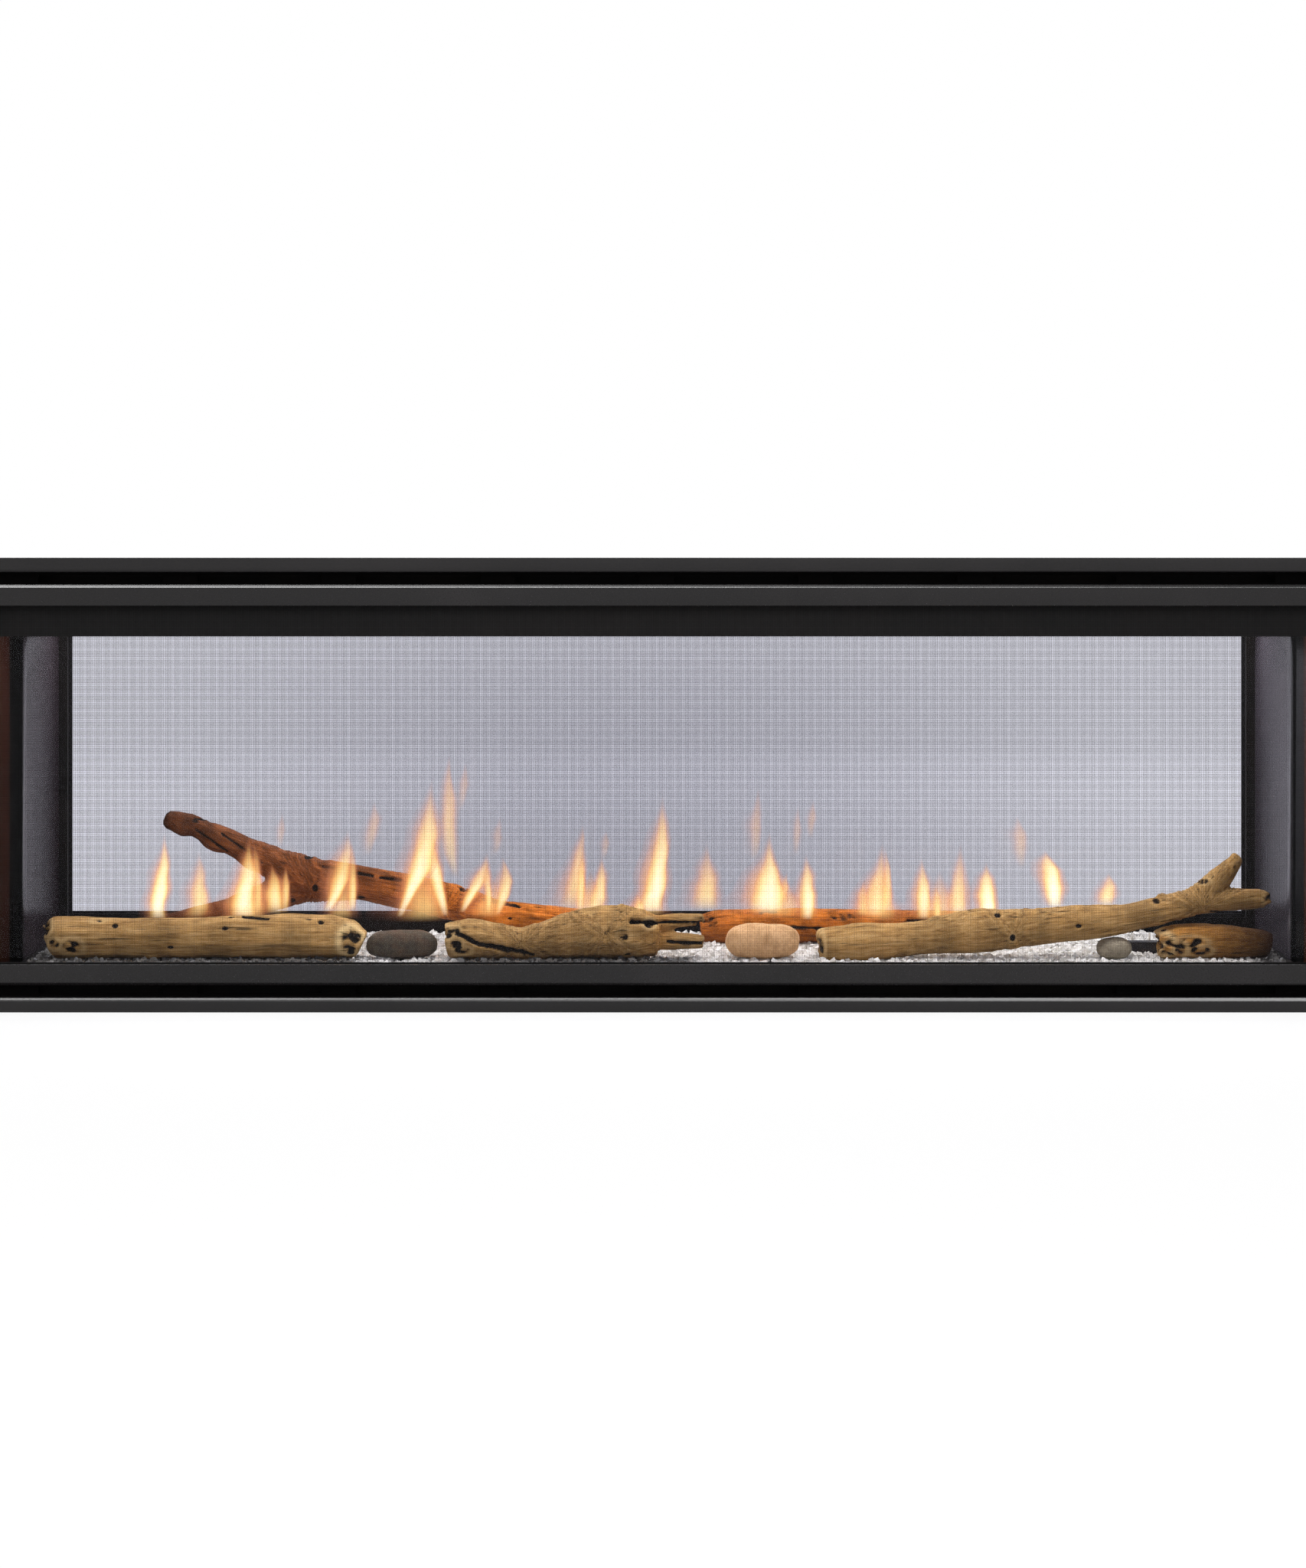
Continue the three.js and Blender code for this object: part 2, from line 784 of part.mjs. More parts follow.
function burnerTrough() {
  const half = burnerWidth / 2;
  const inner = half - burnerWall;
  const shell = block([burnerLeft, burnerRight], [-half, half], [burnerLow, deckLow]);
  const hollow = block(
    [burnerLeft + burnerWall, burnerRight - burnerWall],
    [-inner, inner],
    [burnerLow + burnerWall, deckLow + overrun],
  );
  const inlet = panel("yz", mixerHole, [], burnerRight - burnerWall - overrun, burnerRight + overrun);
  return cut(shell, hollow, inlet);
}

function burnerTop() {
  const half = burnerWidth / 2;
  const run = burnerRight - burnerLeft - 2 * portMargin;
  const ports = [];
  for (let k = 0; k < portCount; k += 1) {
    const x = burnerLeft + portMargin + (run * (k + 1 / 2)) / portCount;
    const wave = (k % 2 === 0 ? 1 : -1) * portWaveShare * portLength;
    ports.push(rectangle(x - portWidth / 2, x + portWidth / 2, wave - portLength / 2, wave + portLength / 2));
  }
  return panel("xy", rectangle(burnerLeft, burnerRight, -half, half), ports, deckLow, deckHigh);
}

add(burner, "burner_trough", burnerTrough(), stainless);
add(burner, "burner_top", burnerTop(), stainless);

// Mixer tube: a flat oval under the deck that turns round at the air shutter
const mixerRoundZ = floorHigh + mixerRoundLift;

function mixerRing(x, width, height, middle) {
  return flatOval(width / 2, height / 2, 0, middle, mixerSides).map(([y, z]) => new THREE.Vector3(x, y, z));
}

function mixerSkin(wall, start, end) {
  const flat = [mixerFlatWidth - 2 * wall, mixerFlatHeight - 2 * wall];
  const round = mixerRound - 2 * wall;
  return loft([
    mixerRing(start, flat[0], flat[1], mixerZ),
    mixerRing(fireboxHalf + mixerFlatEnd, flat[0], flat[1], mixerZ),
    mixerRing(fireboxHalf + mixerRoundStart, round, round, mixerRoundZ),
    mixerRing(end, round, round, mixerRoundZ),
  ]);
}

const shutterLow = fireboxHalf + shutterStart;
const shutterHigh = shutterLow + shutterLength;
const shutterMiddle = (shutterLow + shutterHigh) / 2;

function shutterWindows() {
  const half = shutterWindowWidth / 2;
  const reach = mixerRound + overrun;
  return block(
    [shutterMiddle - shutterWindow / 2, shutterMiddle + shutterWindow / 2],
    [-half, half],
    [mixerRoundZ - reach / 2 - shutterWall, mixerRoundZ + reach / 2 + shutterWall],
  );
}

function mixerTube() {
  const start = burnerRight - mixerInsert;
  const end = fireboxHalf + mixerRoundEnd;
  const outer = mixerSkin(0, start, end);
  const inner = mixerSkin(mixerWall, start - overrun, end + overrun);
  return cut(outer, inner, shutterWindows());
}

function airShutter() {
  const inner = mixerRound / 2 + seatGap;
  const outer = inner + shutterWall;
  const sleeve = turned([
    [inner, shutterLow],
    [outer, shutterLow],
    [outer, shutterHigh],
    [inner, shutterHigh],
    [inner, shutterLow],
  ], mixerSides, "x").translate(0, 0, mixerRoundZ);
  const lever = block(
    [shutterHigh - shutterWall, shutterHigh],
    [-outer - shutterLever, -inner - shutterWall / 2],
    [mixerRoundZ - shutterLeverWidth / 2, mixerRoundZ + shutterLeverWidth / 2],
  );
  return cut(joined(sleeve, lever), shutterWindows());
}

add(burner, "mixer_tube", mixerTube(), stainless);
add(burner, "air_shutter", airShutter(), galvanised);

// Orifice holder: a plate that closes the mixer tube, a spud inside it and a foot on the casing
const orificeX = fireboxHalf + mixerRoundEnd + seatGap;

function orificeHolder() {
  const plate = rod(orificePlate / 2, orificeX, orificeX + orificePlateThick, mixerSides, "x");
  const hex = rod(orificeHex / 2, orificeX, orificeX + orificePlateThick + orificeHexLength, hexSides, "x");
  const spud = turned([
    [0, orificeX - orificeSpudLength],
    [orificeSpud / 4, orificeX - orificeSpudLength],
    [orificeSpud / 2, orificeX - orificeSpudLength / 2],
    [orificeSpud / 2, orificeX + orificePlateThick],
    [0, orificeX + orificePlateThick],
  ], tubeSides, "x");
  const turnedPart = joined(plate, hex, spud).translate(0, 0, mixerRoundZ);
  const foot = block(
    [orificeX + orificePlateThick - sheet, orificeX + orificePlateThick],
    [-orificeFootWidth / 2, orificeFootWidth / 2],
    [sheet, mixerRoundZ],
  );
  return joined(turnedPart, foot);
}

add(burner, "orifice_holder", orificeHolder(), brassFinish);

// Pilot: a folded bracket, a hood with flame windows and two rods
function pilotBracket() {
  const back = pilotHoodDepth / 2 + seatGap;
  const base = [bedLow, bedLow + sheet];
  const front = -pilotHoodDepth / 2;
  const plate = block([pilotLeft, pilotRight], [front, front + pilotBaseDepth], base);
  const hoodHigh = pilotHoodLow + pilotHoodHeight;
  const upright = block([pilotLeft, pilotRight], [back, back + sheet], [bedLow, hoodHigh]);
  const legs = [[pilotLeft, pilotLeft + sheet], [pilotRight - sheet, pilotRight]].map((x) => (
    block(x, [front, back + sheet], [bedLow, pilotHoodLow - seatGap])
  ));
  const line = panel("xy", pilotRiserOutline(pilotTubeDiameter / 2 + mixerHoleGap), [],
    bedLow - overrun, bedLow + sheet + overrun);
  return cut(joined(plate, upright, ...legs), line);
}

const pilotHoodLow = bedLow + pilotHoodLift;

function pilotHood() {
  const y = [-pilotHoodDepth / 2, pilotHoodDepth / 2];
  const z = [pilotHoodLow, pilotHoodLow + pilotHoodHeight];
  const inside = [pilotHoodLow - overrun, pilotHoodLow + pilotHoodHeight - pilotHoodWall];
  const hollow = block(
    [pilotLeft + pilotHoodWall, pilotRight - pilotHoodWall],
    [y[0] + pilotHoodWall, y[1] - pilotHoodWall],
    inside,
  );
  const low = pilotHoodLow + pilotHoodWall;
  const window = block(
    [pilotLeft - overrun, pilotLeft + pilotHoodWall + overrun],
    [-pilotWindow / 2, pilotWindow / 2],
    [low, low + pilotWindow],
  );
  return cut(block([pilotLeft, pilotRight], y, z), hollow, window);
}

function pilotRod(x, tipHeight) {
  const low = bedLow + sheet + seatGap;
  const body = low + rodHeight;
  return turned([
    [0, low],
    [rodDiameter / 2, low],
    [rodDiameter / 2, body - rodTip / 2],
    [rodTip / 2, body],
    [rodTip / 2, body + tipHeight],
    [0, body + tipHeight],
  ], rodSides, "z").translate(x, pilotLineY - rodDiameter - pilotTubeDiameter, 0);
}

add(burner, "pilot_bracket", pilotBracket(), stainless);
add(burner, "pilot_hood", pilotHood(), stainless);
add(burner, "igniter_rod", pilotRod(pilotMiddle - rodSpacing / 2, rodTipHeight / 2), ceramicWhite);
add(burner, "flame_sensor_rod", pilotRod(pilotMiddle + rodSpacing / 2, rodTipHeight), ceramicWhite);

// Crushed glass bed: a low mound with a notch for the pilot
function mediaBed() {
  const level = (inset, z) => rectangle(-bedHalf + inset, bedHalf - inset, -bedY + inset, bedY - inset)
    .map(([x, y]) => new THREE.Vector3(x, y, z));
  const shoulder = level(mediaSlope / 2, bedHigh - mediaDepth / 3);
  const mound = loft([level(0, bedLow), shoulder, level(mediaSlope, bedHigh)]);
  const front = -pilotHoodDepth / 2 - pilotNotchGap;
  const notch = block(
    [pilotLeft - pilotNotchGap, pilotRight + pilotNotchGap],
    [front, front + pilotBaseDepth + 2 * pilotNotchGap],
    [bedLow - overrun, bedHigh + overrun],
  );
  return cut(mound, notch);
}

add(burner, "glass_media", mediaBed(), crushedGlass);

// Driftwood: stations of [place along the bed, lift, girth, sway to the rear], all as shares.
// Each ring is dented at random-looking places but keeps its full radius underneath, where it rests.
function limb(row, girth, rise, stationShares) {
  const centres = stationShares.map(([along, lift, thick, sway]) => new THREE.Vector3(
    along * bedHalf,
    -row + sway * girth,
    restZ + thick * girth + lift * rise,
  ));
  const across = new THREE.Vector3(0, 1, 0);
  const rings = centres.map((centre, k) => {
    const before = centres[Math.max(k - 1, 0)];
    const after = centres[Math.min(k + 1, centres.length - 1)];
    const forward = after.clone().sub(before).normalize();
    const up = forward.clone().cross(across).normalize();
    const aside = up.clone().cross(forward);
    const ring = [];
    for (let i = 0; i < logSides; i += 1) {
      const angle = (2 * Math.PI * i) / logSides + Math.PI / 2;
      const dent = (1 + Math.sin(3 * angle + k)) / 2;
      const upperness = (1 + Math.sin(angle)) / 2;
      const radius = girth * stationShares[k][2] * (1 - logDentShare * dent * upperness);
      ring.push(centre.clone()
        .addScaledVector(up, radius * Math.sin(angle))
        .addScaledVector(aside, radius * Math.cos(angle)));
    }
    return ring;
  });
  return loft(rings);
}

const leftLogShares = [
  [-0.966, 0, 0.8, 0], [-0.953, 0, 0.94, 0], [-0.911, 0, 0.97, 0.05], [-0.836, 0, 0.93, 0],
  [-0.753, 0, 0.93, -0.05], [-0.669, 0, 0.96, 0], [-0.577, 0, 1, 0.05], [-0.518, 0, 0.98, 0],
  [-0.485, 0, 0.88, 0], [-0.467, 0, 0.64, 0],
];
const middleLogShares = [
  [-0.334, 0, 0.66, -0.1], [-0.298, 0, 0.77, -0.1], [-0.264, 0, 0.7, 0], [-0.217, 0, 0.6, 0.05],
  [-0.181, 0, 0.7, 0], [-0.142, 0, 0.87, 0], [-0.1, 0, 0.96, 0], [-0.057, 0, 1, 0.05],
  [-0.025, 0, 0.93, 0], [0.004, 0.06, 0.76, 0],
];
const upperFingerShares = [
  [-0.03, 0.76, 0.3, 0], [0.01, 0.84, 0.3, 0], [0.04, 0.92, 0.27, 0.1], [0.075, 1, 0.22, 0.1],
];
const lowerFingerShares = [
  [-0.03, 0.28, 0.36, 0], [0.01, 0.26, 0.36, 0], [0.04, 0.27, 0.34, -0.1], [0.075, 0.3, 0.27, -0.1],
];
const forkedLogShares = [
  [0.261, 0, 0.86, 0], [0.31, 0.013, 0.89, 0], [0.358, 0.03, 0.9, 0], [0.428, 0.093, 0.84, 0.1],
  [0.507, 0.132, 1, 0], [0.607, 0.181, 0.97, -0.1], [0.674, 0.222, 0.93, 0], [0.741, 0.272, 0.88, 0],
  [0.798, 0.354, 0.94, 0], [0.853, 0.458, 0.91, 0], [0.906, 0.49, 0.81, 0], [0.957, 0.524, 0.67, 0],
  [0.975, 0.55, 0.44, 0],
];
const forkedArmShares = [
  [0.852, 0.5, 0.78, 0], [0.88, 0.63, 0.84, 0], [0.897, 0.75, 0.78, 0.05], [0.911, 0.88, 0.6, 0.1],
  [0.921, 0.98, 0.4, 0.1],
];
const stubLogShares = [
  [0.79, 0, 0.76, 0], [0.803, 0, 0.88, 0], [0.823, 0, 0.97, 0], [0.868, 0, 1, 0.05],
  [0.911, 0, 0.95, 0], [0.938, 0, 0.87, 0], [0.962, 0, 0.78, 0], [0.973, 0, 0.68, 0],
];
const backLogShares = [
  [0.072, 0, 0.78, 0], [0.1, 0, 0.92, 0], [0.17, 0, 0.97, 0.05], [0.25, 0, 1, 0],
  [0.34, 0, 0.96, -0.05], [0.43, 0, 0.93, 0], [0.51, 0, 0.88, 0], [0.545, 0, 0.72, 0],
];
const diagonalLogShares = [
  [-0.803, 0.932, 0.27, 0.2], [-0.766, 0.844, 0.46, 0.2], [-0.719, 0.725, 0.55, 0.15],
  [-0.672, 0.628, 0.58, 0.1],
  [-0.619, 0.467, 0.8, 0], [-0.56, 0.325, 1, 0], [-0.485, 0.345, 0.76, 0], [-0.408, 0.272, 0.78, 0],
  [-0.338, 0.198, 0.81, 0], [-0.254, 0.098, 0.72, 0], [-0.134, 0.055, 0.7, 0], [-0.034, 0, 0.64, 0],
];
const diagonalArmShares = [
  [-0.575, 0.33, 0.8, 0], [-0.644, 0.24, 0.66, -0.05], [-0.697, 0.16, 0.6, -0.1], [-0.783, 0.058, 0.59, -0.1],
  [-0.836, 0.02, 0.57, 0], [-0.866, 0, 0.46, 0],
];

const logSet = new THREE.Group();
fireplace.add(logSet);
add(logSet, "left_log", limb(nearRow, leftGirth, 0, leftLogShares), tanWood);
add(logSet, "middle_log", joined(
  limb(nearRow, middleGirth, middleRise, middleLogShares),
  limb(nearRow, middleGirth, middleRise, upperFingerShares),
  limb(nearRow, middleGirth, middleRise, lowerFingerShares),
), tanWood);
add(logSet, "forked_log", joined(
  limb(nearRow, forkedGirth, forkedRise, forkedLogShares),
  limb(nearRow, forkedGirth, forkedRise, forkedArmShares),
), tanWood);
add(logSet, "stub_log", limb(nearRow, stubGirth, 0, stubLogShares), tanWood);
add(logSet, "back_log", limb(-backRow, backGirth, 0, backLogShares), burntWood);
add(logSet, "diagonal_log", joined(
  limb(-diagonalRow, diagonalGirth, diagonalRise, diagonalLogShares),
  limb(-diagonalRow, diagonalGirth, diagonalRise, diagonalArmShares),
), burntWood);

// Stones: rounded lumps that rest on the bed
function stone(share, width, depth, height) {
  const lump = new THREE.SphereGeometry(1, stoneSides, stoneRings);
  lump.scale(width / 2, depth / 2, height / 2);
  return lump.translate(share * bedHalf, -nearRow, restZ + height / 2);
}

const roundStoneShare = 0.167;
const darkPebbleShare = -0.404;
const smallPebbleShare = 0.724;
const stones = [
  ["round_stone", roundStoneShare, roundStoneWidth, roundStoneDepth, roundStoneHeight, tanStone],
  ["dark_pebble", darkPebbleShare, darkPebbleWidth, darkPebbleDepth, darkPebbleHeight, darkStone],
  ["small_pebble", smallPebbleShare, smallPebbleWidth, smallPebbleDepth, smallPebbleHeight, tanStone],
];
for (const [name, share, width, depth, height, material] of stones) {
  add(logSet, name, stone(share, width, depth, height), material);
}

// Outer trim, folded from sheet
function trim() {
  const fold = sheet * (Math.SQRT2 - 1);
  return mitredFrame(trimHalf, 0, trimHigh, faceY, [
    [0, 0],
    [trimBar - trimBevel, 0],
    [trimBar, trimBevel],
    [trimBar, trimProud],
    [trimBar - sheet, trimProud],
    [trimBar - sheet, trimBevel + fold],
    [trimBar - trimBevel - fold, sheet],
    [sheet, sheet],
    [sheet, trimProud],
    [0, trimProud],
  ]);
}

// Barrier screen frame, folded from sheet, with tabs that hook into the casing
function screenFrame() {
  const fold = sheet * (Math.SQRT2 - 1);
  const back = trimProud - seatGap;
  const frame = mitredFrame(screenHalf, screenLow, screenHigh, faceY, [
    [0, screenBevel],
    [screenBevel, 0],
    [screenBar, 0],
    [screenBar, sheet],
    [screenBevel + fold, sheet],
    [sheet, screenBevel + fold],
    [sheet, back - sheet],
    [screenBackFlange, back - sheet],
    [screenBackFlange, back],
    [0, back],
  ]);
  const tabs = [];
  for (const side of [-1, 1]) {
    for (const share of tabHeightShares) {
      const low = viewLow + share * viewHeight;
      tabs.push(block(
        [side * tabX() - sheet / 2, side * tabX() + sheet / 2],
        [-faceY + back - sheet / 2, -faceY + back + tabReach],
        [low, low + tabLength],
      ));
    }
  }
  return joined(frame, ...tabs);
}

// The wire net behind the face of the screen frame
function screenNet() {
  const outline = rectangle(-viewHalf - netLap, viewHalf + netLap, viewLow - netLap, viewHigh + netLap);
  const wide = viewWidth / netColumns;
  const tall = viewHeight / netRows;
  const half = netWire / 2;
  const gaps = [];
  for (let c = 0; c < netColumns; c += 1) {
    for (let r = 0; r < netRows; r += 1) {
      const left = -viewHalf + c * wide;
      const low = viewLow + r * tall;
      gaps.push(rectangle(left + half, left + wide - half, low + half, low + tall - half));
    }
  }
  const front = -faceY + sheet;
  return panel("xz", outline, gaps, front, front + netThick);
}

// Glass tray: a sheet face with turned-back edges
function glassTray() {
  const profile = [
    [0, 0],
    [glassSideBar, 0],
    [glassSideBar, sheet],
    [sheet, sheet],
    [sheet, glassTrayDepth],
    [0, glassTrayDepth],
  ];
  const tray = mitredFrame(glassHalf, glassLow, glassHigh, glassFace, profile);
  const across = glassHalf - sheet / 2;
  const rail = (low, high) => block([-across, across], [-glassFace, -glassFace + sheet], [low, high]);
  const header = rail(openingHigh, glassHigh - sheet / 2);
  const footer = rail(glassLow + sheet / 2, openingLow);
  return joined(tray, header, footer);
}

const trayInner = glassHalf - sheet;
const paneY = [-glassFace + sheet, -glassFace + sheet + paneThick];

function glassPane() {
  return block(
    [-trayInner + paneEdgeGap, trayInner - paneEdgeGap],
    paneY,
    [glassLow + sheet + paneEdgeGap, glassHigh - sheet - paneEdgeGap],
  );
}

function glassGasket() {
  const depth = -seatFace - seatGap - paneY[1];
  const half = trayInner - gasketEdgeGap;
  const low = glassLow + sheet + gasketEdgeGap;
  const high = glassHigh - sheet - gasketEdgeGap;
  return mitredFrame(half, low, high, -paneY[1], [
    [0, depth / 4],
    [gasketWidth / 4, 0],
    [gasketWidth - gasketWidth / 4, 0],
    [gasketWidth, depth / 4],
    [gasketWidth, depth - depth / 4],
    [gasketWidth - gasketWidth / 4, depth],
    [gasketWidth / 4, depth],
    [0, depth - depth / 4],
  ]);
}

// Glass seat: the flange round the firebox mouth, with a ledge that carries the glass
function glassSeat() {
  const half = openingHalf + seatLap;
  const opening = rectangle(-half, half, openingLow - seatLap, openingHigh + seatLap);
  const outline = rectangle(-seatHalf, seatHalf, seatLow, seatHigh);
  const ring = panel("xz", outline, [opening], -seatFace, -seatBack);
  const ledgeTop = glassLow - seatGap;
  const ledgeFront = -plateBack + seatGap;
  const ledge = block(
    [-ledgeWidth / 2, ledgeWidth / 2],
    [ledgeFront, -seatFace + sheet / 2],
    [ledgeTop - sheet, ledgeTop],
  );
  return joined(ring, ledge);
}

for (const [side, turn] of [["front", 0], ["rear", Math.PI]]) {
  const face = new THREE.Group();
  face.rotation.z = turn;
  fireplace.add(face);
  add(face, "casing_" + side, casingPlate(), heatSteel);
  add(face, side + "_trim", trim(), blackPaint);
  add(face, side + "_screen_frame", screenFrame(), screenPaint);
  add(face, side + "_screen_net", screenNet(), wireFinish);
  add(face, side + "_glass_frame", glassTray(), blackPaint);
  add(face, side + "_glass_pane", glassPane(), paneGlass);
  add(face, side + "_glass_gasket", glassGasket(), ropeFibre);
  add(face, side + "_glass_seat", glassSeat(), heatSteel);
}

// Gas train in the right-hand bay
const gasTrain = new THREE.Group();
fireplace.add(gasTrain);
const valveX = [fireboxHalf + valveNear, fireboxHalf + valveNear + valveWidth];
const valveTop = valveZ + valveHeight;
const knobX = (valveX[0] + valveX[1]) / 2;
const knobY = valveY + valveLength / 2;

function gasValve() {
  const body = block(valveX, [valveY, valveY + valveLength], [valveZ, valveTop]);
  const step = block(
    [valveX[0] + valveStep, valveX[1] - valveStep],
    [valveY + valveStep, valveY + valveLength - valveStep],
    [valveZ - valveStep, valveZ + sheet],
  );
  const regulator = rod(valveStep, valveTop - sheet, valveTop + knobHeight / 2, mixerSides, "z")
    .translate(knobX, valveY + valveLength - valveStep - sheet, 0);
  const stem = rod(knobStem / 2, valveTop - sheet, valveTop + knobStemHeight, tubeSides, "z")
    .translate(knobX, knobY - valveStep, 0);
  const leg = block(
    [knobX - sheet, knobX + sheet],
    [knobY - valveFootWidth / 2, knobY + valveFootWidth / 2],
    [sheet, valveZ],
  );
  const foot = block(
    [knobX - valveFootWidth / 2, knobX + valveFootWidth / 2],
    [knobY - valveFootWidth / 2, knobY + valveFootWidth / 2],
    [sheet, sheet + sheet],
  );
  return joined(body, step, regulator, stem, leg, foot);
}

function flameKnob() {
  const low = valveTop + seatGap;
  const high = low + knobHeight;
  const bore = knobStem / 2 + seatGap;
  const radius = knobDiameter / 2;
  const cap = turned([
    [0, valveTop + knobStemHeight + seatGap],
    [bore, valveTop + knobStemHeight + seatGap],
    [bore, low],
    [radius - knobBevel, low],
    [radius - knobBevel, high - knobBevel - knobBevel],
    [radius - knobBevel - knobBevel, high],
    [0, high],
  ], mixerSides, "z");
  const reach = radius - knobBevel - knobBevel;
  const rib = block([-knobRib / 2, knobRib / 2], [-reach, reach], [high - knobBevel, high + knobRibHeight]);
  return joined(cap, rib).translate(knobX, knobY - valveStep, 0);
}

add(gasTrain, "gas_valve", gasValve(), castAluminium);
add(gasTrain, "flame_knob", flameKnob(), redPlastic);

// Shutoff valve: an inlet stub through the casing, a bulkhead flange, a ball body and a stem
const shutoffEnd = casingInner - seatGap - bulkheadThick;
const shutoffStart = shutoffEnd - shutoffLength;
const shutoffMiddle = (shutoffStart + shutoffEnd) / 2;
const stemTop = supplyZ + shutoffBody / 2 + shutoffStemHeight;

function shutoffValve() {
  const stub = turned([
    [0, shutoffEnd - overrun],
    [inletPipe / 2, shutoffEnd - overrun],
    [inletPipe / 2, casingHalf + inletReach],
    [inletBore / 2, casingHalf + inletReach],
    [inletBore / 2, shutoffEnd],
    [0, shutoffEnd],
  ], mixerSides, "x");
  const flange = turned([
    [inletPipe / 2 - sheet, shutoffEnd],
    [bulkheadDiameter / 2, shutoffEnd],
    [bulkheadDiameter / 2, shutoffEnd + bulkheadThick],
    [inletPipe / 2 - sheet, shutoffEnd + bulkheadThick],
    [inletPipe / 2 - sheet, shutoffEnd],
  ], mixerSides, "x");
  const hex = rod(shutoffHex / 2, shutoffStart, shutoffEnd, hexSides, "x");
  const quarter = shutoffLength / 4;
  const ball = turned([
    [0, shutoffMiddle - quarter],
    [shutoffHex / 2, shutoffMiddle - quarter],
    [shutoffBody / 2, shutoffMiddle - quarter / 2],
    [shutoffBody / 2, shutoffMiddle + quarter / 2],
    [shutoffHex / 2, shutoffMiddle + quarter],
    [0, shutoffMiddle + quarter],
  ], mixerSides, "x");
  const along = joined(hex, ball, stub, flange).translate(0, -supplyY, supplyZ);
  const stem = rod(shutoffStem / 2, supplyZ, stemTop, tubeSides, "z").translate(shutoffMiddle, -supplyY, 0);
  const pin = rod(leverPin / 2, supplyZ, stemTop + leverThick + leverPinHeight, tubeSides, "z")
    .translate(shutoffMiddle, -supplyY, 0);
  return joined(along, stem, pin);
}

function shutoffHandle() {
  const half = leverWidth / 2;
  const tip = half / 2;
  const outline = [
    [half, -half],
    [half, half],
    [-half, half],
    [-half - half, tip + tip / 2],
    [-leverLength + tip, tip + tip / 2],
    [-leverLength, tip],
    [-leverLength, -tip],
    [-leverLength + tip, -tip - tip / 2],
    [-half - half, -tip - tip / 2],
    [-half, -half],
  ].reverse();
  const hole = circle(0, 0, leverPin / 2 + seatGap, tubeSides);
  const low = stemTop + seatGap;
  return panel("xy", outline, [hole], low, low + leverThick).translate(shutoffMiddle, -supplyY, 0);
}

add(gasTrain, "shutoff_valve", shutoffValve(), brassFinish);
add(gasTrain, "shutoff_handle", shutoffHandle(), redPlastic);

// Gas tubes, each from fitting to fitting
const burnerTubeStart = orificeX + orificePlateThick + orificeHexLength + seatGap;
const burnerTubeX = burnerTubeStart + burnerTubeBend + seatGap;
const portY = valveY - seatGap;
const outletX = valveX[1] - valveStep;
const outletZ = valveZ + valveStep;
const inletX = valveX[0] + valveStep;
const inletZ = valveZ + valveHeight / 2;
const pilotTubeX = fireboxHalf + pilotTubeClear;

add(gasTrain, "burner_tube", bentTube([
  [burnerTubeStart, 0, mixerRoundZ],
  [burnerTubeX, 0, mixerRoundZ],
  [burnerTubeX, 0, outletZ],
  [outletX, portY - burnerTubeBend, outletZ],
  [outletX, portY, outletZ],
], burnerTubeDiameter, burnerTubeBend), stainless);

add(gasTrain, "supply_tube", bentTube([
  [shutoffStart - seatGap, -supplyY, supplyZ],
  [inletX, -supplyY, supplyZ],
  [inletX, -supplyTubeBend * 2, supplyZ],
  [inletX, supplyTubeBend, inletZ],
  [inletX, portY, inletZ],
], supplyTubeDiameter, supplyTubeBend), brassFinish);

add(gasTrain, "pilot_tube", bentTube([
  [valveX[0] - seatGap, knobY, outletZ],
  [pilotTubeX, knobY, outletZ],
  [pilotTubeX, knobY, mixerZ],
  [pilotTubeX, pilotLineY, mixerZ],
  [pilotMiddle, pilotLineY, mixerZ],
  [pilotMiddle, pilotLineY, bedLow + sheet + sheet],
], pilotTubeDiameter, pilotTubeBend), stainless);

// Controls
const controls = new THREE.Group();
fireplace.add(controls);
const moduleX = [fireboxHalf + moduleNear, fireboxHalf + moduleNear + moduleWidth];
const moduleFace = plateBack - seatGap - moduleDepth;
const rockerX = (moduleX[0] + moduleX[1]) / 2;
const rockerZ = moduleZ + moduleHeight / 2;

function controlModule() {
  const body = block(moduleX, [moduleFace, moduleFace + moduleDepth], [moduleZ, moduleZ + moduleHeight]);
  const halfX = rockerLength / 2 + rockerGap;
  const halfZ = rockerHeight / 2 + rockerGap;
  const recess = block(
    [rockerX - halfX, rockerX + halfX],
    [moduleFace - overrun, moduleFace + rockerRecess],
    [rockerZ - halfZ, rockerZ + halfZ],
  );
  const fulcrum = block(
    [rockerX - fulcrumWidth / 2, rockerX + fulcrumWidth / 2],
    [moduleFace + seatGap, moduleFace + rockerRecess + sheet],
    [rockerZ - rockerHeight / 2, rockerZ + rockerHeight / 2],
  );
  return joined(cut(body, recess), fulcrum);
}

function rocker() {
  const half = rockerLength / 2;
  const paddle = panel("xy", [
    [-half, 0],
    [-half, -rockerThick],
    [0, -rockerThick - rockerCrown],
    [half, -rockerThick],
    [half, 0],
  ].reverse(), [], -rockerHeight / 2, rockerHeight / 2);
  paddle.rotateZ(THREE.MathUtils.degToRad(rockerTiltDegrees));
  return paddle.translate(rockerX, moduleFace, rockerZ);
}

function junctionBox() {
  const near = casingInner - seatGap - boxDepth;
  const shell = block([near, near + boxDepth], [boxY, boxY + boxLength], [boxZ, boxZ + boxHeight]);
  const hollow = block(
    [near + sheet, near + boxDepth + overrun],
    [boxY + sheet, boxY + boxLength - sheet],
    [boxZ + sheet, boxZ + boxHeight - sheet],
  );
  return cut(shell, hollow);
}

add(controls, "control_module", controlModule(), blackPlastic);
add(controls, "rocker_switch", rocker(), redPlastic);
add(controls, "junction_box", junctionBox(), galvanised).rotation.z = Math.PI;

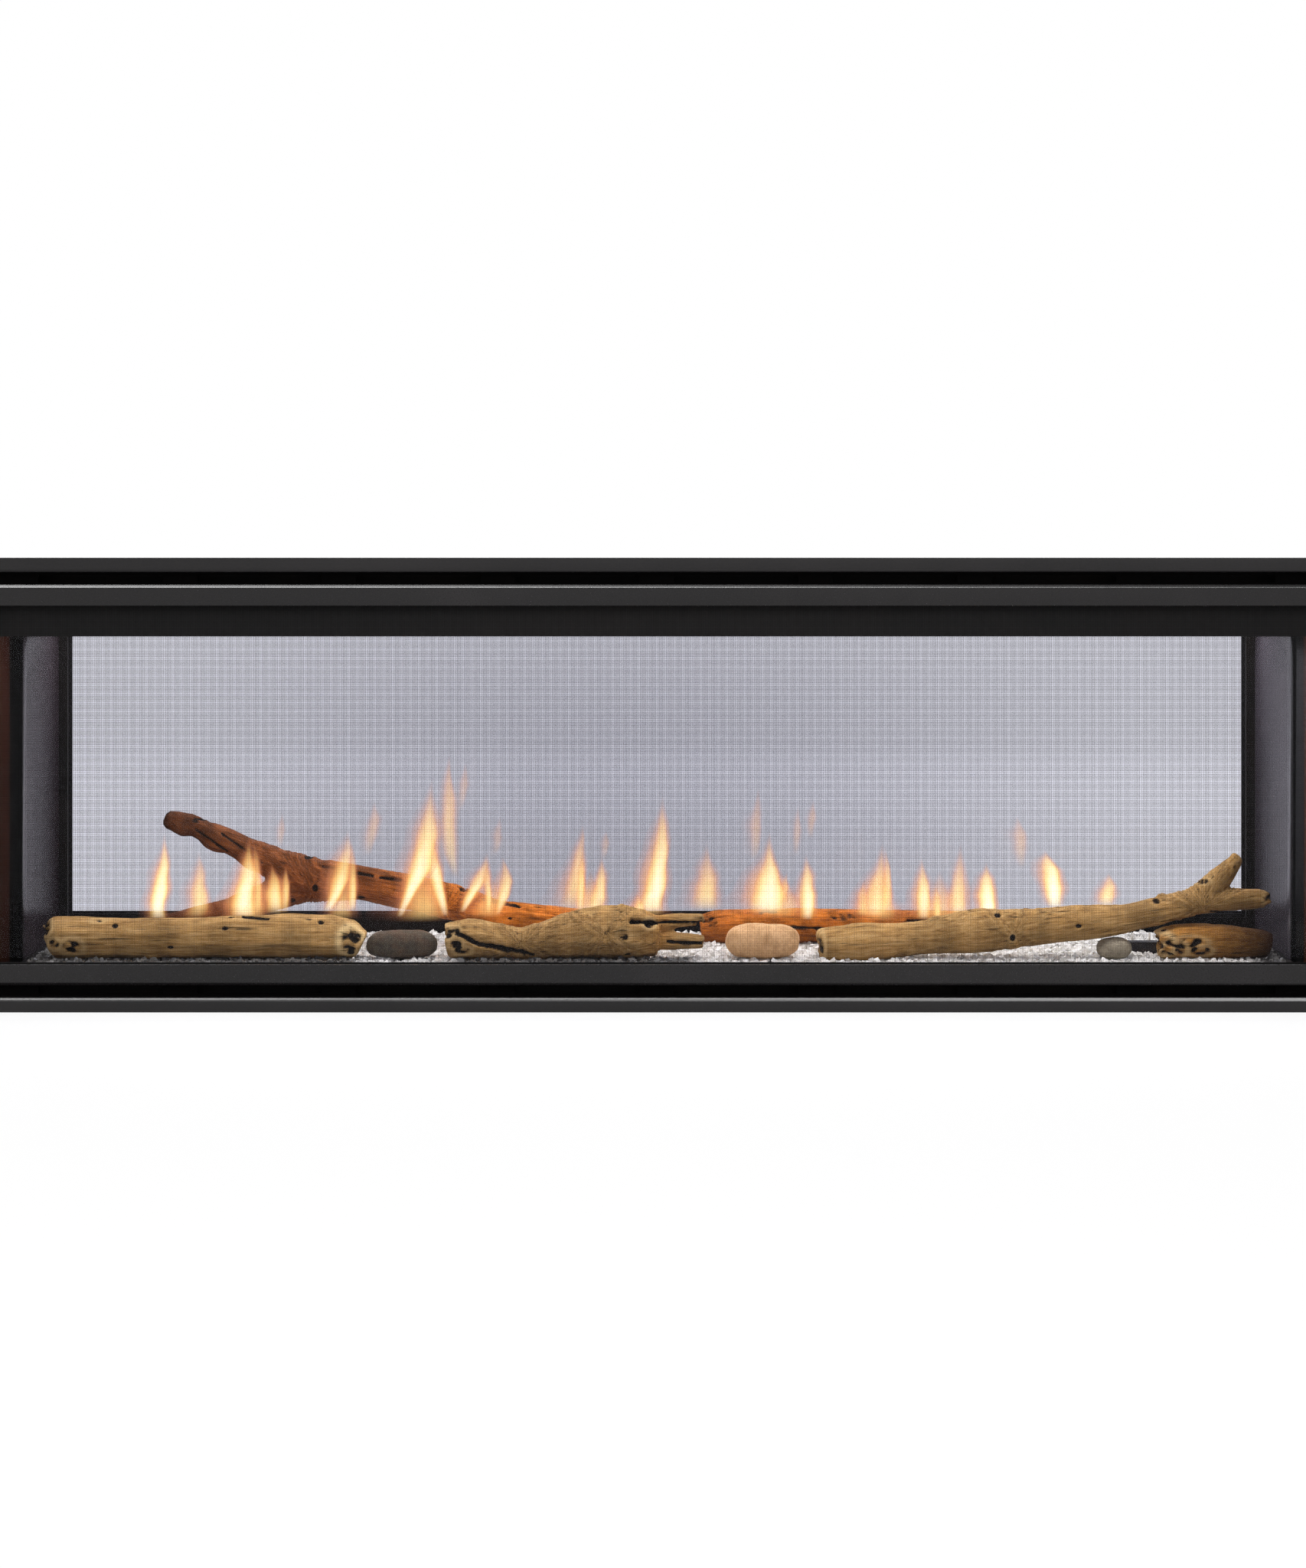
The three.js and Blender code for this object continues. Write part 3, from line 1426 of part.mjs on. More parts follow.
// Access cover: a flat lap with a pressed field, over the hatch in the right side
function accessCover() {
  const near = casingHalf + seatGap;
  const y = [hatchY - hatchLength / 2 - hatchLap, hatchY + hatchLength / 2 + hatchLap];
  const z = [hatchZ - hatchLap, hatchZ + hatchHeight + hatchLap];
  const lap = block([near, near + sheet], y, z);
  const level = (x, inset) => rectangle(y[0] + inset, y[1] - inset, z[0] + inset, z[1] - inset)
    .map(([across, up]) => new THREE.Vector3(x, across, up));
  const field = loft([
    level(near + sheet / 2, hatchPressInset),
    level(near + sheet, hatchPressInset),
    level(near + sheet + hatchPress, hatchPressInset + hatchPress),
  ]);
  return joined(lap, field);
}

add(controls, "access_cover", accessCover(), galvanised);

export default fireplace;
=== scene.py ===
"""Looks of a double-sided linear gas fireplace, built round its packed construction.

Metres, +Z up. X runs along the fireplace and Y through it, with the front face at -Y.
"""

import logging
import math
import random
from collections.abc import Iterable, Sequence
from dataclasses import dataclass
from enum import Enum
from itertools import product
from typing import ClassVar, NamedTuple

import bmesh
import bpy
import numpy as np
from mathutils import Matrix, Vector, noise


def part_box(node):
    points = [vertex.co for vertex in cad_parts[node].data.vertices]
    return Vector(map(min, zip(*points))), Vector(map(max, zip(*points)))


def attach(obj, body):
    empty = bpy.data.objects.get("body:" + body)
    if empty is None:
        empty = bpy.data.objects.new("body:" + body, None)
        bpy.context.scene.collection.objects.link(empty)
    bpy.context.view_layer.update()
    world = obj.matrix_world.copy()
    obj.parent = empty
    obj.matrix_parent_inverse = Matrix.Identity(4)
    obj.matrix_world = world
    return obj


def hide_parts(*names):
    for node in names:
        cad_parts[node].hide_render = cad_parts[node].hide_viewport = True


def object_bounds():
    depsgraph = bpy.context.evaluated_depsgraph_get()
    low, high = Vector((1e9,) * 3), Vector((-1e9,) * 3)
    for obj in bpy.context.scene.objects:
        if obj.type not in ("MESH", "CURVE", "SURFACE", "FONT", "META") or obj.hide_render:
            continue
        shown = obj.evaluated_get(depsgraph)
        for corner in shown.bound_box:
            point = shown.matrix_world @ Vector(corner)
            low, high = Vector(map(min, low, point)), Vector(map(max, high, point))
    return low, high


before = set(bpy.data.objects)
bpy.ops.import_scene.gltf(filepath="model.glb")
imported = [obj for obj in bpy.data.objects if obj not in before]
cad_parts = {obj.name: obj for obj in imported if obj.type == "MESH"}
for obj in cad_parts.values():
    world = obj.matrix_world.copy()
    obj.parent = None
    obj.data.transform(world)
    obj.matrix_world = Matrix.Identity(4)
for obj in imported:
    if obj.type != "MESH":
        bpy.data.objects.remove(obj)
cad_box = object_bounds()

report = logging.getLogger("fireplace")
MM = 0.001
# Points closer than the first are one point. Points within the second of a tube's end belong to that end.
WELD_MM = 0.01
END_BAND_MM = 0.05
Box = tuple[Vector, Vector]
Place = tuple[float, float, float]
Profile = Sequence[tuple[float, float]]

# Turned and hexagonal fasteners: radius and height in millimetres.
SCREW_WASHER: Profile = ((4.6, 0.0), (4.6, 0.7), (3.9, 1.0))
SCREW_HEAD: Profile = ((3.6, 0.9), (3.6, 2.6), (3.0, 3.0), (2.4, 3.0), (2.2, 2.5))
RIVET_HEAD: Profile = ((3.2, 0.0), (3.1, 0.4), (2.2, 1.1), (1.2, 1.25), (1.1, 0.7))
WASHER_SIDES = 20
RIVET_SIDES = 18
HEX_SIDES = 6


class Body(Enum):
    """The bodies that this script's own pieces ride on."""

    HOUSING = "housing"
    FRONT_SCREEN = "front_screen"
    REAR_SCREEN = "rear_screen"
    COVER = "cover"


class Side(Enum):
    """The two faces, by the way that each looks along Y."""

    FRONT = -1
    REAR = 1


class Pattern(Enum):
    """How a finish varies over a surface."""

    CLOUD = "cloud"
    SPANGLE = "spangle"
    TWIST = "twist"


class Axis(Enum):
    """A direction that a turned or hexagonal piece stands along."""

    X = (1, 0, 0)
    LEFT = (-1, 0, 0)
    FRONTWARD = (0, -1, 0)
    Z = (0, 0, 1)


def linear(colour: str) -> tuple[float, float, float, float]:
    """Turns an sRGB hex colour into linear RGBA.

    Args:
        colour: Six hex digits after a hash sign.

    Returns:
        Red, green, blue and an alpha of 1.
    """
    parts = [int(colour[k:k + 2], 16) / 255 for k in (1, 3, 5)]
    values = [v / 12.92 if v <= 0.04045 else ((v + 0.055) / 1.055) ** 2.4 for v in parts]
    return (*values, 1.0)


def add_node(
    tree: bpy.types.NodeTree,
    kind: str,
    settings: dict[str | int, object] | None = None,
    links: dict[str | int, bpy.types.NodeSocket] | None = None,
) -> bpy.types.Node:
    """Adds a shader node with its settings and its links.

    Args:
        tree: The node tree.
        kind: Blender's name for the node.
        settings: Properties and input values by name, and ramp stops under "stops".
        links: Output sockets by the name or number of the input that each feeds.

    Returns:
        The new node.
    """
    node = tree.nodes.new(kind)
    for name, value in (settings or {}).items():
        if name == "stops":
            elements = node.color_ramp.elements
            while len(elements) < len(value):
                elements.new(0.5)
            for element, (place, colour) in zip(elements, value):
                element.position = place
                element.color = colour
        elif isinstance(name, str) and hasattr(node, name):
            setattr(node, name, value)
        else:
            node.inputs[name].default_value = value
    for name, socket in (links or {}).items():
        tree.links.new(socket, node.inputs[name])
    return node


def start_material(
    name: str, settings: dict[str | int, object]
) -> tuple[bpy.types.Material, bpy.types.Node]:
    """Makes a material that holds one Principled shader.

    Args:
        name: The material's name.
        settings: The shader's own input values.

    Returns:
        The material and its shader node.
    """
    material = bpy.data.materials.new(name)
    material.use_nodes = True
    tree = material.node_tree
    tree.nodes.clear()
    shader = add_node(tree, "ShaderNodeBsdfPrincipled", settings)
    add_node(tree, "ShaderNodeOutputMaterial", links={"Surface": shader.outputs["BSDF"]})
    return material, shader


@dataclass(frozen=True)
class SurfaceFinish:
    """A worked or coated surface: two tones in a pattern of real size, with its own relief."""

    name: str
    slot: str
    dark: str
    light: str
    roughness: tuple[float, float]
    pattern_mm: tuple[float, float, float]
    relief_mm: float
    metallic: float = 0.0
    specular: float = 0.5
    coat: float = 0.0
    coat_roughness: float = 0.12
    pattern: Pattern = Pattern.CLOUD
    tone_range: tuple[float, float] = (0.3, 0.7)
    stain: str = "#000000"
    stain_mm: float = 90.0
    stain_share: float = 0.0
    stain_range: tuple[float, float] = (0.42, 0.68)
    relief_strength: float = 0.6

    def make(self) -> bpy.types.Material:
        """Builds the material, or finds it if it was built before.

        Returns:
            The material.
        """
        known = bpy.data.materials.get(self.name)
        if known:
            return known
        material, shader = start_material(self.name, {
            "Metallic": self.metallic, "Specular IOR Level": self.specular,
            "Coat Weight": self.coat, "Coat Roughness": self.coat_roughness,
        })
        tree = material.node_tree
        place = add_node(tree, "ShaderNodeTexCoord").outputs["Object"]
        scale = [1 / (size * MM) for size in self.pattern_mm]
        spread = add_node(tree, "ShaderNodeMapping", {"Scale": scale}, {"Vector": place}).outputs["Vector"]
        if self.pattern is Pattern.SPANGLE:
            cells = add_node(tree, "ShaderNodeTexVoronoi", {"Scale": 1.0}, {"Vector": spread})
            parted = add_node(tree, "ShaderNodeSeparateColor", links={"Color": cells.outputs["Color"]})
            factor = parted.outputs["Red"]
        elif self.pattern is Pattern.TWIST:
            wave = {"bands_direction": "DIAGONAL", "Scale": 1.0, "Distortion": 1.2, "Detail": 3.0}
            factor = add_node(tree, "ShaderNodeTexWave", wave, {"Vector": spread}).outputs["Fac"]
        else:
            cloud = {"Scale": 1.0, "Detail": 5.0, "Roughness": 0.62}
            factor = add_node(tree, "ShaderNodeTexNoise", cloud, {"Vector": spread}).outputs["Fac"]
        first, last = (0.0, 1.0) if self.pattern is Pattern.SPANGLE else self.tone_range
        tone = add_node(tree, "ShaderNodeValToRGB", {
            "stops": [(first, linear(self.dark)), (last, linear(self.light))],
        }, {"Fac": factor})
        colour = tone.outputs["Color"]
        if self.stain_share > 0:
            broad = add_node(tree, "ShaderNodeTexNoise", {
                "Scale": 1 / (self.stain_mm * MM), "Detail": 3.0, "Roughness": 0.55,
            }, {"Vector": place})
            amount = add_node(tree, "ShaderNodeMapRange", {
                "From Min": self.stain_range[0], "From Max": self.stain_range[1], "To Max": self.stain_share,
            }, {"Value": broad.outputs["Fac"]})
            colour = add_node(tree, "ShaderNodeMix", {
                "data_type": "RGBA", 7: linear(self.stain),
            }, {0: amount.outputs["Result"], 6: colour}).outputs[2]
        tree.links.new(colour, shader.inputs["Base Color"])
        sheen = add_node(tree, "ShaderNodeMapRange", {
            "To Min": self.roughness[0], "To Max": self.roughness[1],
        }, {"Value": factor})
        tree.links.new(sheen.outputs["Result"], shader.inputs["Roughness"])
        relief = add_node(tree, "ShaderNodeBump", {
            "Strength": self.relief_strength, "Distance": self.relief_mm * MM,
        }, {"Height": factor})
        tree.links.new(relief.outputs["Normal"], shader.inputs["Normal"])
        return material


@dataclass(frozen=True)
class LinerEnamel:
    """Black vitreous enamel on the side liners: smooth, deep and glossy. Its brown towards the front is a
    painted reflection of the firelight, and its grey towards the rear a painted reflection of the bright
    background beyond the rear pane.
    """

    name: str = "black_liner_enamel"
    slot: str = "liner_enamel"
    # Painted reflections: the first tone is the brown towards the front, the last the grey towards the rear;
    # the middle one is the enamel's own black between them.
    near: str = "#34190F"
    seam: str = "#090909"
    far: str = "#413C42"
    near_mm: float = 60.0
    seam_mm: float = 8.0
    reach: float = 0.2
    near_blend: float = 0.01
    far_blend: float = 0.03
    dulled: float = 0.03
    polished: float = 0.24
    ripple_mm: float = 71.4
    ripple_relief_mm: float = 0.4
    ripple_tones: tuple[float, float] = (0.7, 1.3)

    def make(self) -> bpy.types.Material:
        """Builds the material, whose tone follows the distance from the front face.

        Returns:
            The material.
        """
        material, shader = start_material(self.name, {"Roughness": 0.24})
        tree = material.node_tree
        place = add_node(tree, "ShaderNodeTexCoord").outputs["Object"]
        depth = add_node(tree, "ShaderNodeSeparateXYZ", links={"Vector": place}).outputs["Y"]
        ripple = add_node(tree, "ShaderNodeTexNoise", {
            "Scale": 1 / (self.ripple_mm * MM), "Detail": 3.0,
        }, {"Vector": place}).outputs["Fac"]
        through = add_node(tree, "ShaderNodeMapRange", {
            "From Min": -self.reach, "From Max": self.reach,
        }, {"Value": depth})
        start, end = (
            (self.reach - away * MM) / (2 * self.reach) for away in (self.near_mm, self.seam_mm)
        )
        # The tone is painted reflection: brown in front, then the enamel's black, then grey behind.
        tone = add_node(tree, "ShaderNodeValToRGB", {"stops": [
            (start - self.near_blend, linear(self.near)), (start + self.near_blend, linear(self.seam)),
            (end, linear(self.seam)), (end + self.far_blend, linear(self.far)),
        ]}, {"Fac": through.outputs["Result"]})
        polish = add_node(tree, "ShaderNodeMapRange", {
            "From Min": -self.seam_mm * MM, "From Max": 0.0, "To Min": self.dulled, "To Max": self.polished,
        }, {"Value": depth})
        tree.links.new(polish.outputs["Result"], shader.inputs["Specular IOR Level"])
        uneven = add_node(tree, "ShaderNodeMapRange", {
            "To Min": self.ripple_tones[0], "To Max": self.ripple_tones[1],
        }, {"Value": ripple})
        mixed = add_node(tree, "ShaderNodeVectorMath", {"operation": "MULTIPLY"}, {
            0: tone.outputs["Color"], 1: uneven.outputs["Result"],
        })
        tree.links.new(mixed.outputs["Vector"], shader.inputs["Base Color"])
        wavy = add_node(tree, "ShaderNodeBump", {
            "Strength": 0.2, "Distance": self.ripple_relief_mm * MM,
        }, {"Height": ripple})
        tree.links.new(wavy.outputs["Normal"], shader.inputs["Normal"])
        return material


# The left end's enamel is darker and less polished than the right end's: painted shade on the left liner.
SHADED_LEFT_ENAMEL = LinerEnamel(
    name="shaded_left_liner_enamel", near="#28140D", seam="#050505", far="#2E272B", dulled=0.0, polished=0.14,
)


@dataclass(frozen=True)
class CeramicPane:
    """Clear glass ceramic, coated against reflections, with painted shade over its middle: a darker tint
    there darkens what shows through it.
    """

    name: str = "clear_glass_ceramic"
    slot: str = "pane_glass"
    mirror: str = "#F3F3F6"
    tint: str = "#FCFCFF"
    # Painted shade: the pane passes the first tint round a middle point, and its own clear tint further out.
    pane_shade: str = "#F2F2F6"
    pane_shade_at: tuple[float, float] = (-0.05, 0.12)
    pane_shade_reach: float = 0.65
    pane_shade_flatness: float = 1.7
    index: float = 1.5
    coating: float = 0.12

    def make(self) -> bpy.types.Material:
        """Builds the material: see-through, with mirror gloss by the glass's own reflectance.

        Returns:
            The material.
        """
        material, shader = start_material(self.name, {
            "Base Color": linear(self.mirror), "Metallic": 1.0, "Roughness": 0.03,
        })
        tree = material.node_tree
        bare = add_node(tree, "ShaderNodeFresnel", {"IOR": self.index})
        gloss = add_node(tree, "ShaderNodeMath", {"operation": "MULTIPLY", 1: self.coating}, {
            0: bare.outputs["Fac"],
        })
        place = add_node(tree, "ShaderNodeTexCoord").outputs["Object"]
        flat = (1.0, 0.0, self.pane_shade_flatness)
        spread = add_node(tree, "ShaderNodeVectorMath", {"operation": "MULTIPLY", 1: flat}, {0: place})
        middle = (self.pane_shade_at[0], 0.0, self.pane_shade_at[1] * self.pane_shade_flatness)
        away = add_node(tree, "ShaderNodeVectorMath", {"operation": "DISTANCE", 1: middle}, {
            0: spread.outputs["Vector"],
        })
        pane_unshaded = add_node(tree, "ShaderNodeMapRange", {
            "interpolation_type": "SMOOTHSTEP", "From Min": 0.0, "From Max": self.pane_shade_reach,
        }, {"Value": away.outputs["Value"]})
        passed = add_node(tree, "ShaderNodeMix", {
            "data_type": "RGBA", 6: linear(self.pane_shade), 7: linear(self.tint),
        }, {0: pane_unshaded.outputs["Result"]})
        clear = add_node(tree, "ShaderNodeBsdfTransparent", links={"Color": passed.outputs[2]})
        mix = add_node(tree, "ShaderNodeMixShader", links={
            0: gloss.outputs["Value"], 1: clear.outputs["BSDF"], 2: shader.outputs["BSDF"],
        })
        output = next(node for node in tree.nodes if node.type == "OUTPUT_MATERIAL")
        tree.links.new(mix.outputs["Shader"], output.inputs["Surface"])
        return material


@dataclass(frozen=True)
class MouldedDriftwood:
    """Refractory cast in a driftwood mould and hand-coloured: dry, matt and streaked along the grain."""

    name: str
    slot: str
    pale: str
    mid: str
    deep: str
    # The next two tones are painted firelight: the orange glow that the flames throw on a log.
    firelight: str
    firelight_deep: str
    char: str = "#17110D"
    # The smoke tone is partly smoke staining and partly painted shade, as on the stub under the forked log.
    smoke: str = "#2A1A13"
    worn: str = "#DFBF86"
    streak_mm: float = 1.6
    streak_length_mm: float = 34.0
    check_mm: float = 2.6
    check_length_mm: float = 46.0
    patch_mm: float = 28.0
    patch_dark: float = 0.66
    patch_light: float = 1.12
    speck_mm: float = 5.0
    streak_relief_mm: float = 0.5
    pore_relief_mm: float = 0.4

    def make(self) -> bpy.types.Material:
        """Builds the material from the mesh's grain, char and bleach values, its painted firelight where a
        log faces the flames, and its smoke value, which is partly smoke staining and partly painted shade.

        Returns:
            The material.
        """
        material, shader = start_material(self.name, {"Roughness": 0.86, "Specular IOR Level": 0.25})
        tree = material.node_tree
        grain = add_node(tree, "ShaderNodeAttribute", {"attribute_name": "grain"}).outputs["Vector"]
        burnt, warmth, smoke_and_shade_mask, bleached = (
            add_node(tree, "ShaderNodeAttribute", {"attribute_name": name}).outputs["Fac"]
            for name in ("char", "warmth", "smoke", "bleach")
        )
        fibres, splits = (
            add_node(tree, "ShaderNodeMapping", {
                "Scale": (1 / (length * MM), 1 / (width * MM), 1 / (width * MM)),
            }, {"Vector": grain})
            for length, width in (
                (self.streak_length_mm, self.streak_mm), (self.check_length_mm, self.check_mm),
            )
        )
        streaks = add_node(tree, "ShaderNodeTexNoise", {
            "Scale": 1.0, "Detail": 6.0, "Roughness": 0.7, "Distortion": 0.4,
        }, {"Vector": fibres.outputs["Vector"]}).outputs["Fac"]
        patches = add_node(tree, "ShaderNodeTexNoise", {
            "Scale": 1 / (self.patch_mm * MM), "Detail": 4.0, "Roughness": 0.6,
        }, {"Vector": grain}).outputs["Fac"]
        tone = add_node(tree, "ShaderNodeValToRGB", {"stops": [
            (0.3, linear(self.deep)), (0.47, linear(self.mid)), (0.66, linear(self.pale)),
        ]}, {"Fac": streaks})
        shade = add_node(tree, "ShaderNodeMapRange", {
            "From Min": 0.36, "From Max": 0.66, "To Min": self.patch_dark, "To Max": self.patch_light,
        }, {"Value": patches})
        glow = add_node(tree, "ShaderNodeValToRGB", {"stops": [
            (0.34, linear(self.firelight_deep)), (0.6, linear(self.firelight)),
        ]}, {"Fac": streaks})
        firelit = add_node(tree, "ShaderNodeMix", {"data_type": "RGBA"}, {
            0: warmth, 6: tone.outputs["Color"], 7: glow.outputs["Color"],
        })
        mottled = add_node(tree, "ShaderNodeVectorMath", {"operation": "MULTIPLY"}, {
            0: firelit.outputs[2], 1: shade.outputs["Result"],
        })
        paled = add_node(tree, "ShaderNodeMix", {"data_type": "RGBA", 7: linear(self.worn)}, {
            0: bleached, 6: mottled.outputs["Vector"],
        })
        smoke_and_shade_mix = add_node(tree, "ShaderNodeMix", {"data_type": "RGBA", 7: linear(self.smoke)}, {
            0: smoke_and_shade_mask, 6: paled.outputs[2],
        })
        lines = add_node(tree, "ShaderNodeTexNoise", {
            "Scale": 1.0, "Detail": 2.0, "Roughness": 0.5,
        }, {"Vector": splits.outputs["Vector"]}).outputs["Fac"]
        checked = add_node(tree, "ShaderNodeMapRange", {
            "From Min": 0.63, "From Max": 0.7, "To Min": 1.0, "To Max": 0.3,
        }, {"Value": lines})
        split = add_node(tree, "ShaderNodeVectorMath", {"operation": "MULTIPLY"}, {
            0: smoke_and_shade_mix.outputs[2], 1: checked.outputs["Result"],
        })
        specks = add_node(tree, "ShaderNodeTexNoise", {
            "Scale": 1 / (self.speck_mm * MM), "Detail": 3.0,
        }, {"Vector": grain}).outputs["Fac"]
        edge = add_node(tree, "ShaderNodeMath", {
            "operation": "MULTIPLY_ADD", 1: 0.5, 2: -0.25,
        }, {0: specks})
        rough_edge = add_node(tree, "ShaderNodeMath", {"operation": "ADD"}, {
            0: burnt, 1: edge.outputs["Value"],
        })
        soot = add_node(tree, "ShaderNodeMapRange", {
            "interpolation_type": "SMOOTHSTEP", "From Min": 0.25, "From Max": 0.7,
        }, {"Value": rough_edge.outputs["Value"]})
        final = add_node(tree, "ShaderNodeMix", {"data_type": "RGBA", 7: linear(self.char)}, {
            0: soot.outputs["Result"], 6: split.outputs["Vector"],
        })
        tree.links.new(final.outputs[2], shader.inputs["Base Color"])
        relief = add_node(tree, "ShaderNodeBump", {
            "Strength": 0.8, "Distance": self.streak_relief_mm * MM,
        }, {"Height": streaks})
        pores = add_node(tree, "ShaderNodeBump", {
            "Strength": 0.35, "Distance": self.pore_relief_mm * MM,
        }, {"Height": specks, "Normal": relief.outputs["Normal"]})
        tree.links.new(pores.outputs["Normal"], shader.inputs["Normal"])
        return material


@dataclass(frozen=True)
class CrushedGlass:
    """Tumbled crushed glass: pale shards with glossy breaks, each a little lighter or darker."""

    name: str = "crushed_clear_glass"
    slot: str = "crushed_glass"
    pale: str = "#F4F1EA"
    deep: str = "#B9B6AC"
    # The colour of the painted shade on the bed.
    soot: str = "#1C1917"
    break_mm: float = 2.5
    break_relief_mm: float = 0.3

    def make(self) -> bpy.types.Material:
        """Builds the material, with a tone for each shard and the painted shade that the mesh carries as its
        soot value.

        Returns:
            The material.
        """
        material, shader = start_material(self.name, {
            "Roughness": 0.14, "Specular IOR Level": 0.6, "Transmission Weight": 0.15, "IOR": 1.5,
        })
        tree = material.node_tree
        shard = add_node(tree, "ShaderNodeNewGeometry").outputs["Random Per Island"]
        tone = add_node(tree, "ShaderNodeValToRGB", {
            "stops": [(0.0, linear(self.deep)), (0.35, linear(self.pale))],
        }, {"Fac": shard})
        painted_shade_mask = add_node(tree, "ShaderNodeAttribute", {"attribute_name": "soot"}).outputs["Fac"]
        dirty = add_node(tree, "ShaderNodeMix", {"data_type": "RGBA", 7: linear(self.soot)}, {
            0: painted_shade_mask, 6: tone.outputs["Color"],
        })
        tree.links.new(dirty.outputs[2], shader.inputs["Base Color"])
        place = add_node(tree, "ShaderNodeTexCoord").outputs["Object"]
        breaks = add_node(tree, "ShaderNodeTexNoise", {
            "Scale": 1 / (self.break_mm * MM), "Detail": 2.0,
        }, {"Vector": place})
        relief = add_node(tree, "ShaderNodeBump", {
            "Strength": 0.3, "Distance": self.break_relief_mm * MM,
        }, {"Height": breaks.outputs["Fac"]})
        tree.links.new(relief.outputs["Normal"], shader.inputs["Normal"])
        return material


@dataclass(frozen=True)
class GasFlame:
    """A natural gas flame: light without a surface, nearly white at its heart and salmon at its rim."""

    name: str = "natural_gas_flame"
    slot: str = "flame"
    rim: str = "#FF9D78"
    body: str = "#FFB765"
    inner: str = "#FFE08C"
    heart: str = "#FFF6CE"
    faint: float = 1.15
    bright: float = 3.7

    def make(self) -> bpy.types.Material:
        """Builds the material from the mesh's hotness and veil attributes.

        Returns:
            The material.
        """
        material, shader = start_material(self.name, {
            "Base Color": linear("#000000"), "Roughness": 1.0, "Specular IOR Level": 0.0,
        })
        tree = material.node_tree
        heat, veil = (
            add_node(tree, "ShaderNodeAttribute", {"attribute_name": name}).outputs["Fac"]
            for name in ("hotness", "veil")
        )
        glow = add_node(tree, "ShaderNodeValToRGB", {"stops": [
            (0.0, linear(self.rim)), (0.3, linear(self.body)),
            (0.6, linear(self.inner)), (0.9, linear(self.heart)),
        ]}, {"Fac": heat})
        power = add_node(tree, "ShaderNodeMapRange", {
            "To Min": self.faint, "To Max": self.bright,
        }, {"Value": heat})
        tree.links.new(glow.outputs["Color"], shader.inputs["Emission Color"])
        tree.links.new(power.outputs["Result"], shader.inputs["Emission Strength"])
        tree.links.new(veil, shader.inputs["Alpha"])
        material.cycles.emission_sampling = "NONE"
        return material


# Polyester powder coat over sheet steel: satin black with a fine orange peel.
TRIM_COAT = SurfaceFinish(
    "black_powder_coat", "trim_paint", "#110F10", "#181617", (0.26, 0.34), (1.6, 1.6, 1.6), 0.02,
    specular=0.3, stain="#242122", stain_mm=160.0, stain_share=0.4,
)
# The same coat on the screen frames, sprayed a little thinner.
SCREEN_COAT = SurfaceFinish(
    "screen_powder_coat", "screen_paint", "#110F10", "#161415", (0.24, 0.32), (1.4, 1.4, 1.4), 0.02,
    specular=0.3, stain="#262324", stain_mm=140.0, stain_share=0.4,
)
# Black oxide on woven steel wire. Its pores are too fine to show, so the tone alone varies.
WIRE_COAT = SurfaceFinish(
    "blackened_wire", "screen_wire", "#0C0C0D", "#161618", (0.45, 0.6), (9.0, 9.0, 9.0), 0.005,
    specular=0.12,
)
# Hot-dip galvanised steel: zinc crystals of about 9 mm, each with its own sheen.
GALVANISED = SurfaceFinish(
    "galvanised_steel", "casing_steel", "#7F8487", "#9BA0A3", (0.42, 0.52), (9.0, 9.0, 9.0), 0.004,
    metallic=0.85, pattern=Pattern.SPANGLE, stain="#74777A", stain_mm=140.0, stain_share=0.4,
)
# Silicone heat paint on the firebox: flat black, dusty, browned by heat in patches.
HEAT_PAINT = SurfaceFinish(
    "high_heat_black", "firebox_steel", "#0D0C0C", "#151414", (0.62, 0.82), (2.2, 2.2, 2.2), 0.03,
    specular=0.12, stain="#1E1815", stain_mm=110.0, stain_share=0.6,
)
# The face plates get one thin coat, dead flat and nearly black: their own black paint, darkened further as
# painted shade so that the gap behind the trim stays dark where light reaches it.
PLATE_PAINT = SurfaceFinish(
    "flat_black_plate_paint", "firebox_steel", "#060505", "#0A0909", (0.8, 0.95), (2.2, 2.2, 2.2), 0.02,
    specular=0.05,
)
# The same silicone paint on the glass frames, wiped smoother.
FRAME_PAINT = SurfaceFinish(
    "high_heat_black_frame", "trim_paint", "#0E0D0D", "#161515", (0.5, 0.7), (2.0, 2.0, 2.0), 0.02,
    specular=0.15, stain="#1A1615", stain_mm=90.0, stain_share=0.5,
)
# Ferritic stainless, brushed along X and tinted straw by heat.
STAINLESS = SurfaceFinish(
    "brushed_stainless", "stainless", "#8E8982", "#B3AEA6", (0.26, 0.4), (70.0, 0.5, 0.5), 0.006,
    metallic=1.0, stain="#93774C", stain_mm=70.0, stain_share=0.7,
)
# The same steel on the pilot, blued and browned by the flame.
BLUED_STEEL = SurfaceFinish(
    "blued_pilot_steel", "stainless", "#2B2624", "#453D39", (0.4, 0.55), (12.0, 1.2, 1.2), 0.01,
    metallic=0.8, stain="#2A2F3A", stain_mm=18.0, stain_share=0.6,
)
# Free-cutting brass, machined bright and handled.
BRASS = SurfaceFinish(
    "machined_brass", "brass", "#A9873F", "#CDA85A", (0.2, 0.36), (0.6, 0.6, 18.0), 0.005,
    metallic=1.0, stain="#7E6231", stain_mm=22.0, stain_share=0.5,
)
# Die-cast aluminium: grey, with a fine sandy skin from the die.
CAST_ALUMINIUM = SurfaceFinish(
    "die_cast_aluminium", "cast_aluminium", "#9A9C9E", "#B6B8BA", (0.42, 0.58), (1.1, 1.1, 1.1), 0.05,
    metallic=0.95, stain="#85868A", stain_mm=30.0, stain_share=0.5,
)
# Drawn aluminium tube: bright, with draw lines.
DRAWN_ALUMINIUM = SurfaceFinish(
    "drawn_aluminium", "tube_aluminium", "#B3B5B6", "#CFD1D2", (0.24, 0.38), (1.0, 1.0, 1.0), 0.01,
    metallic=1.0,
)
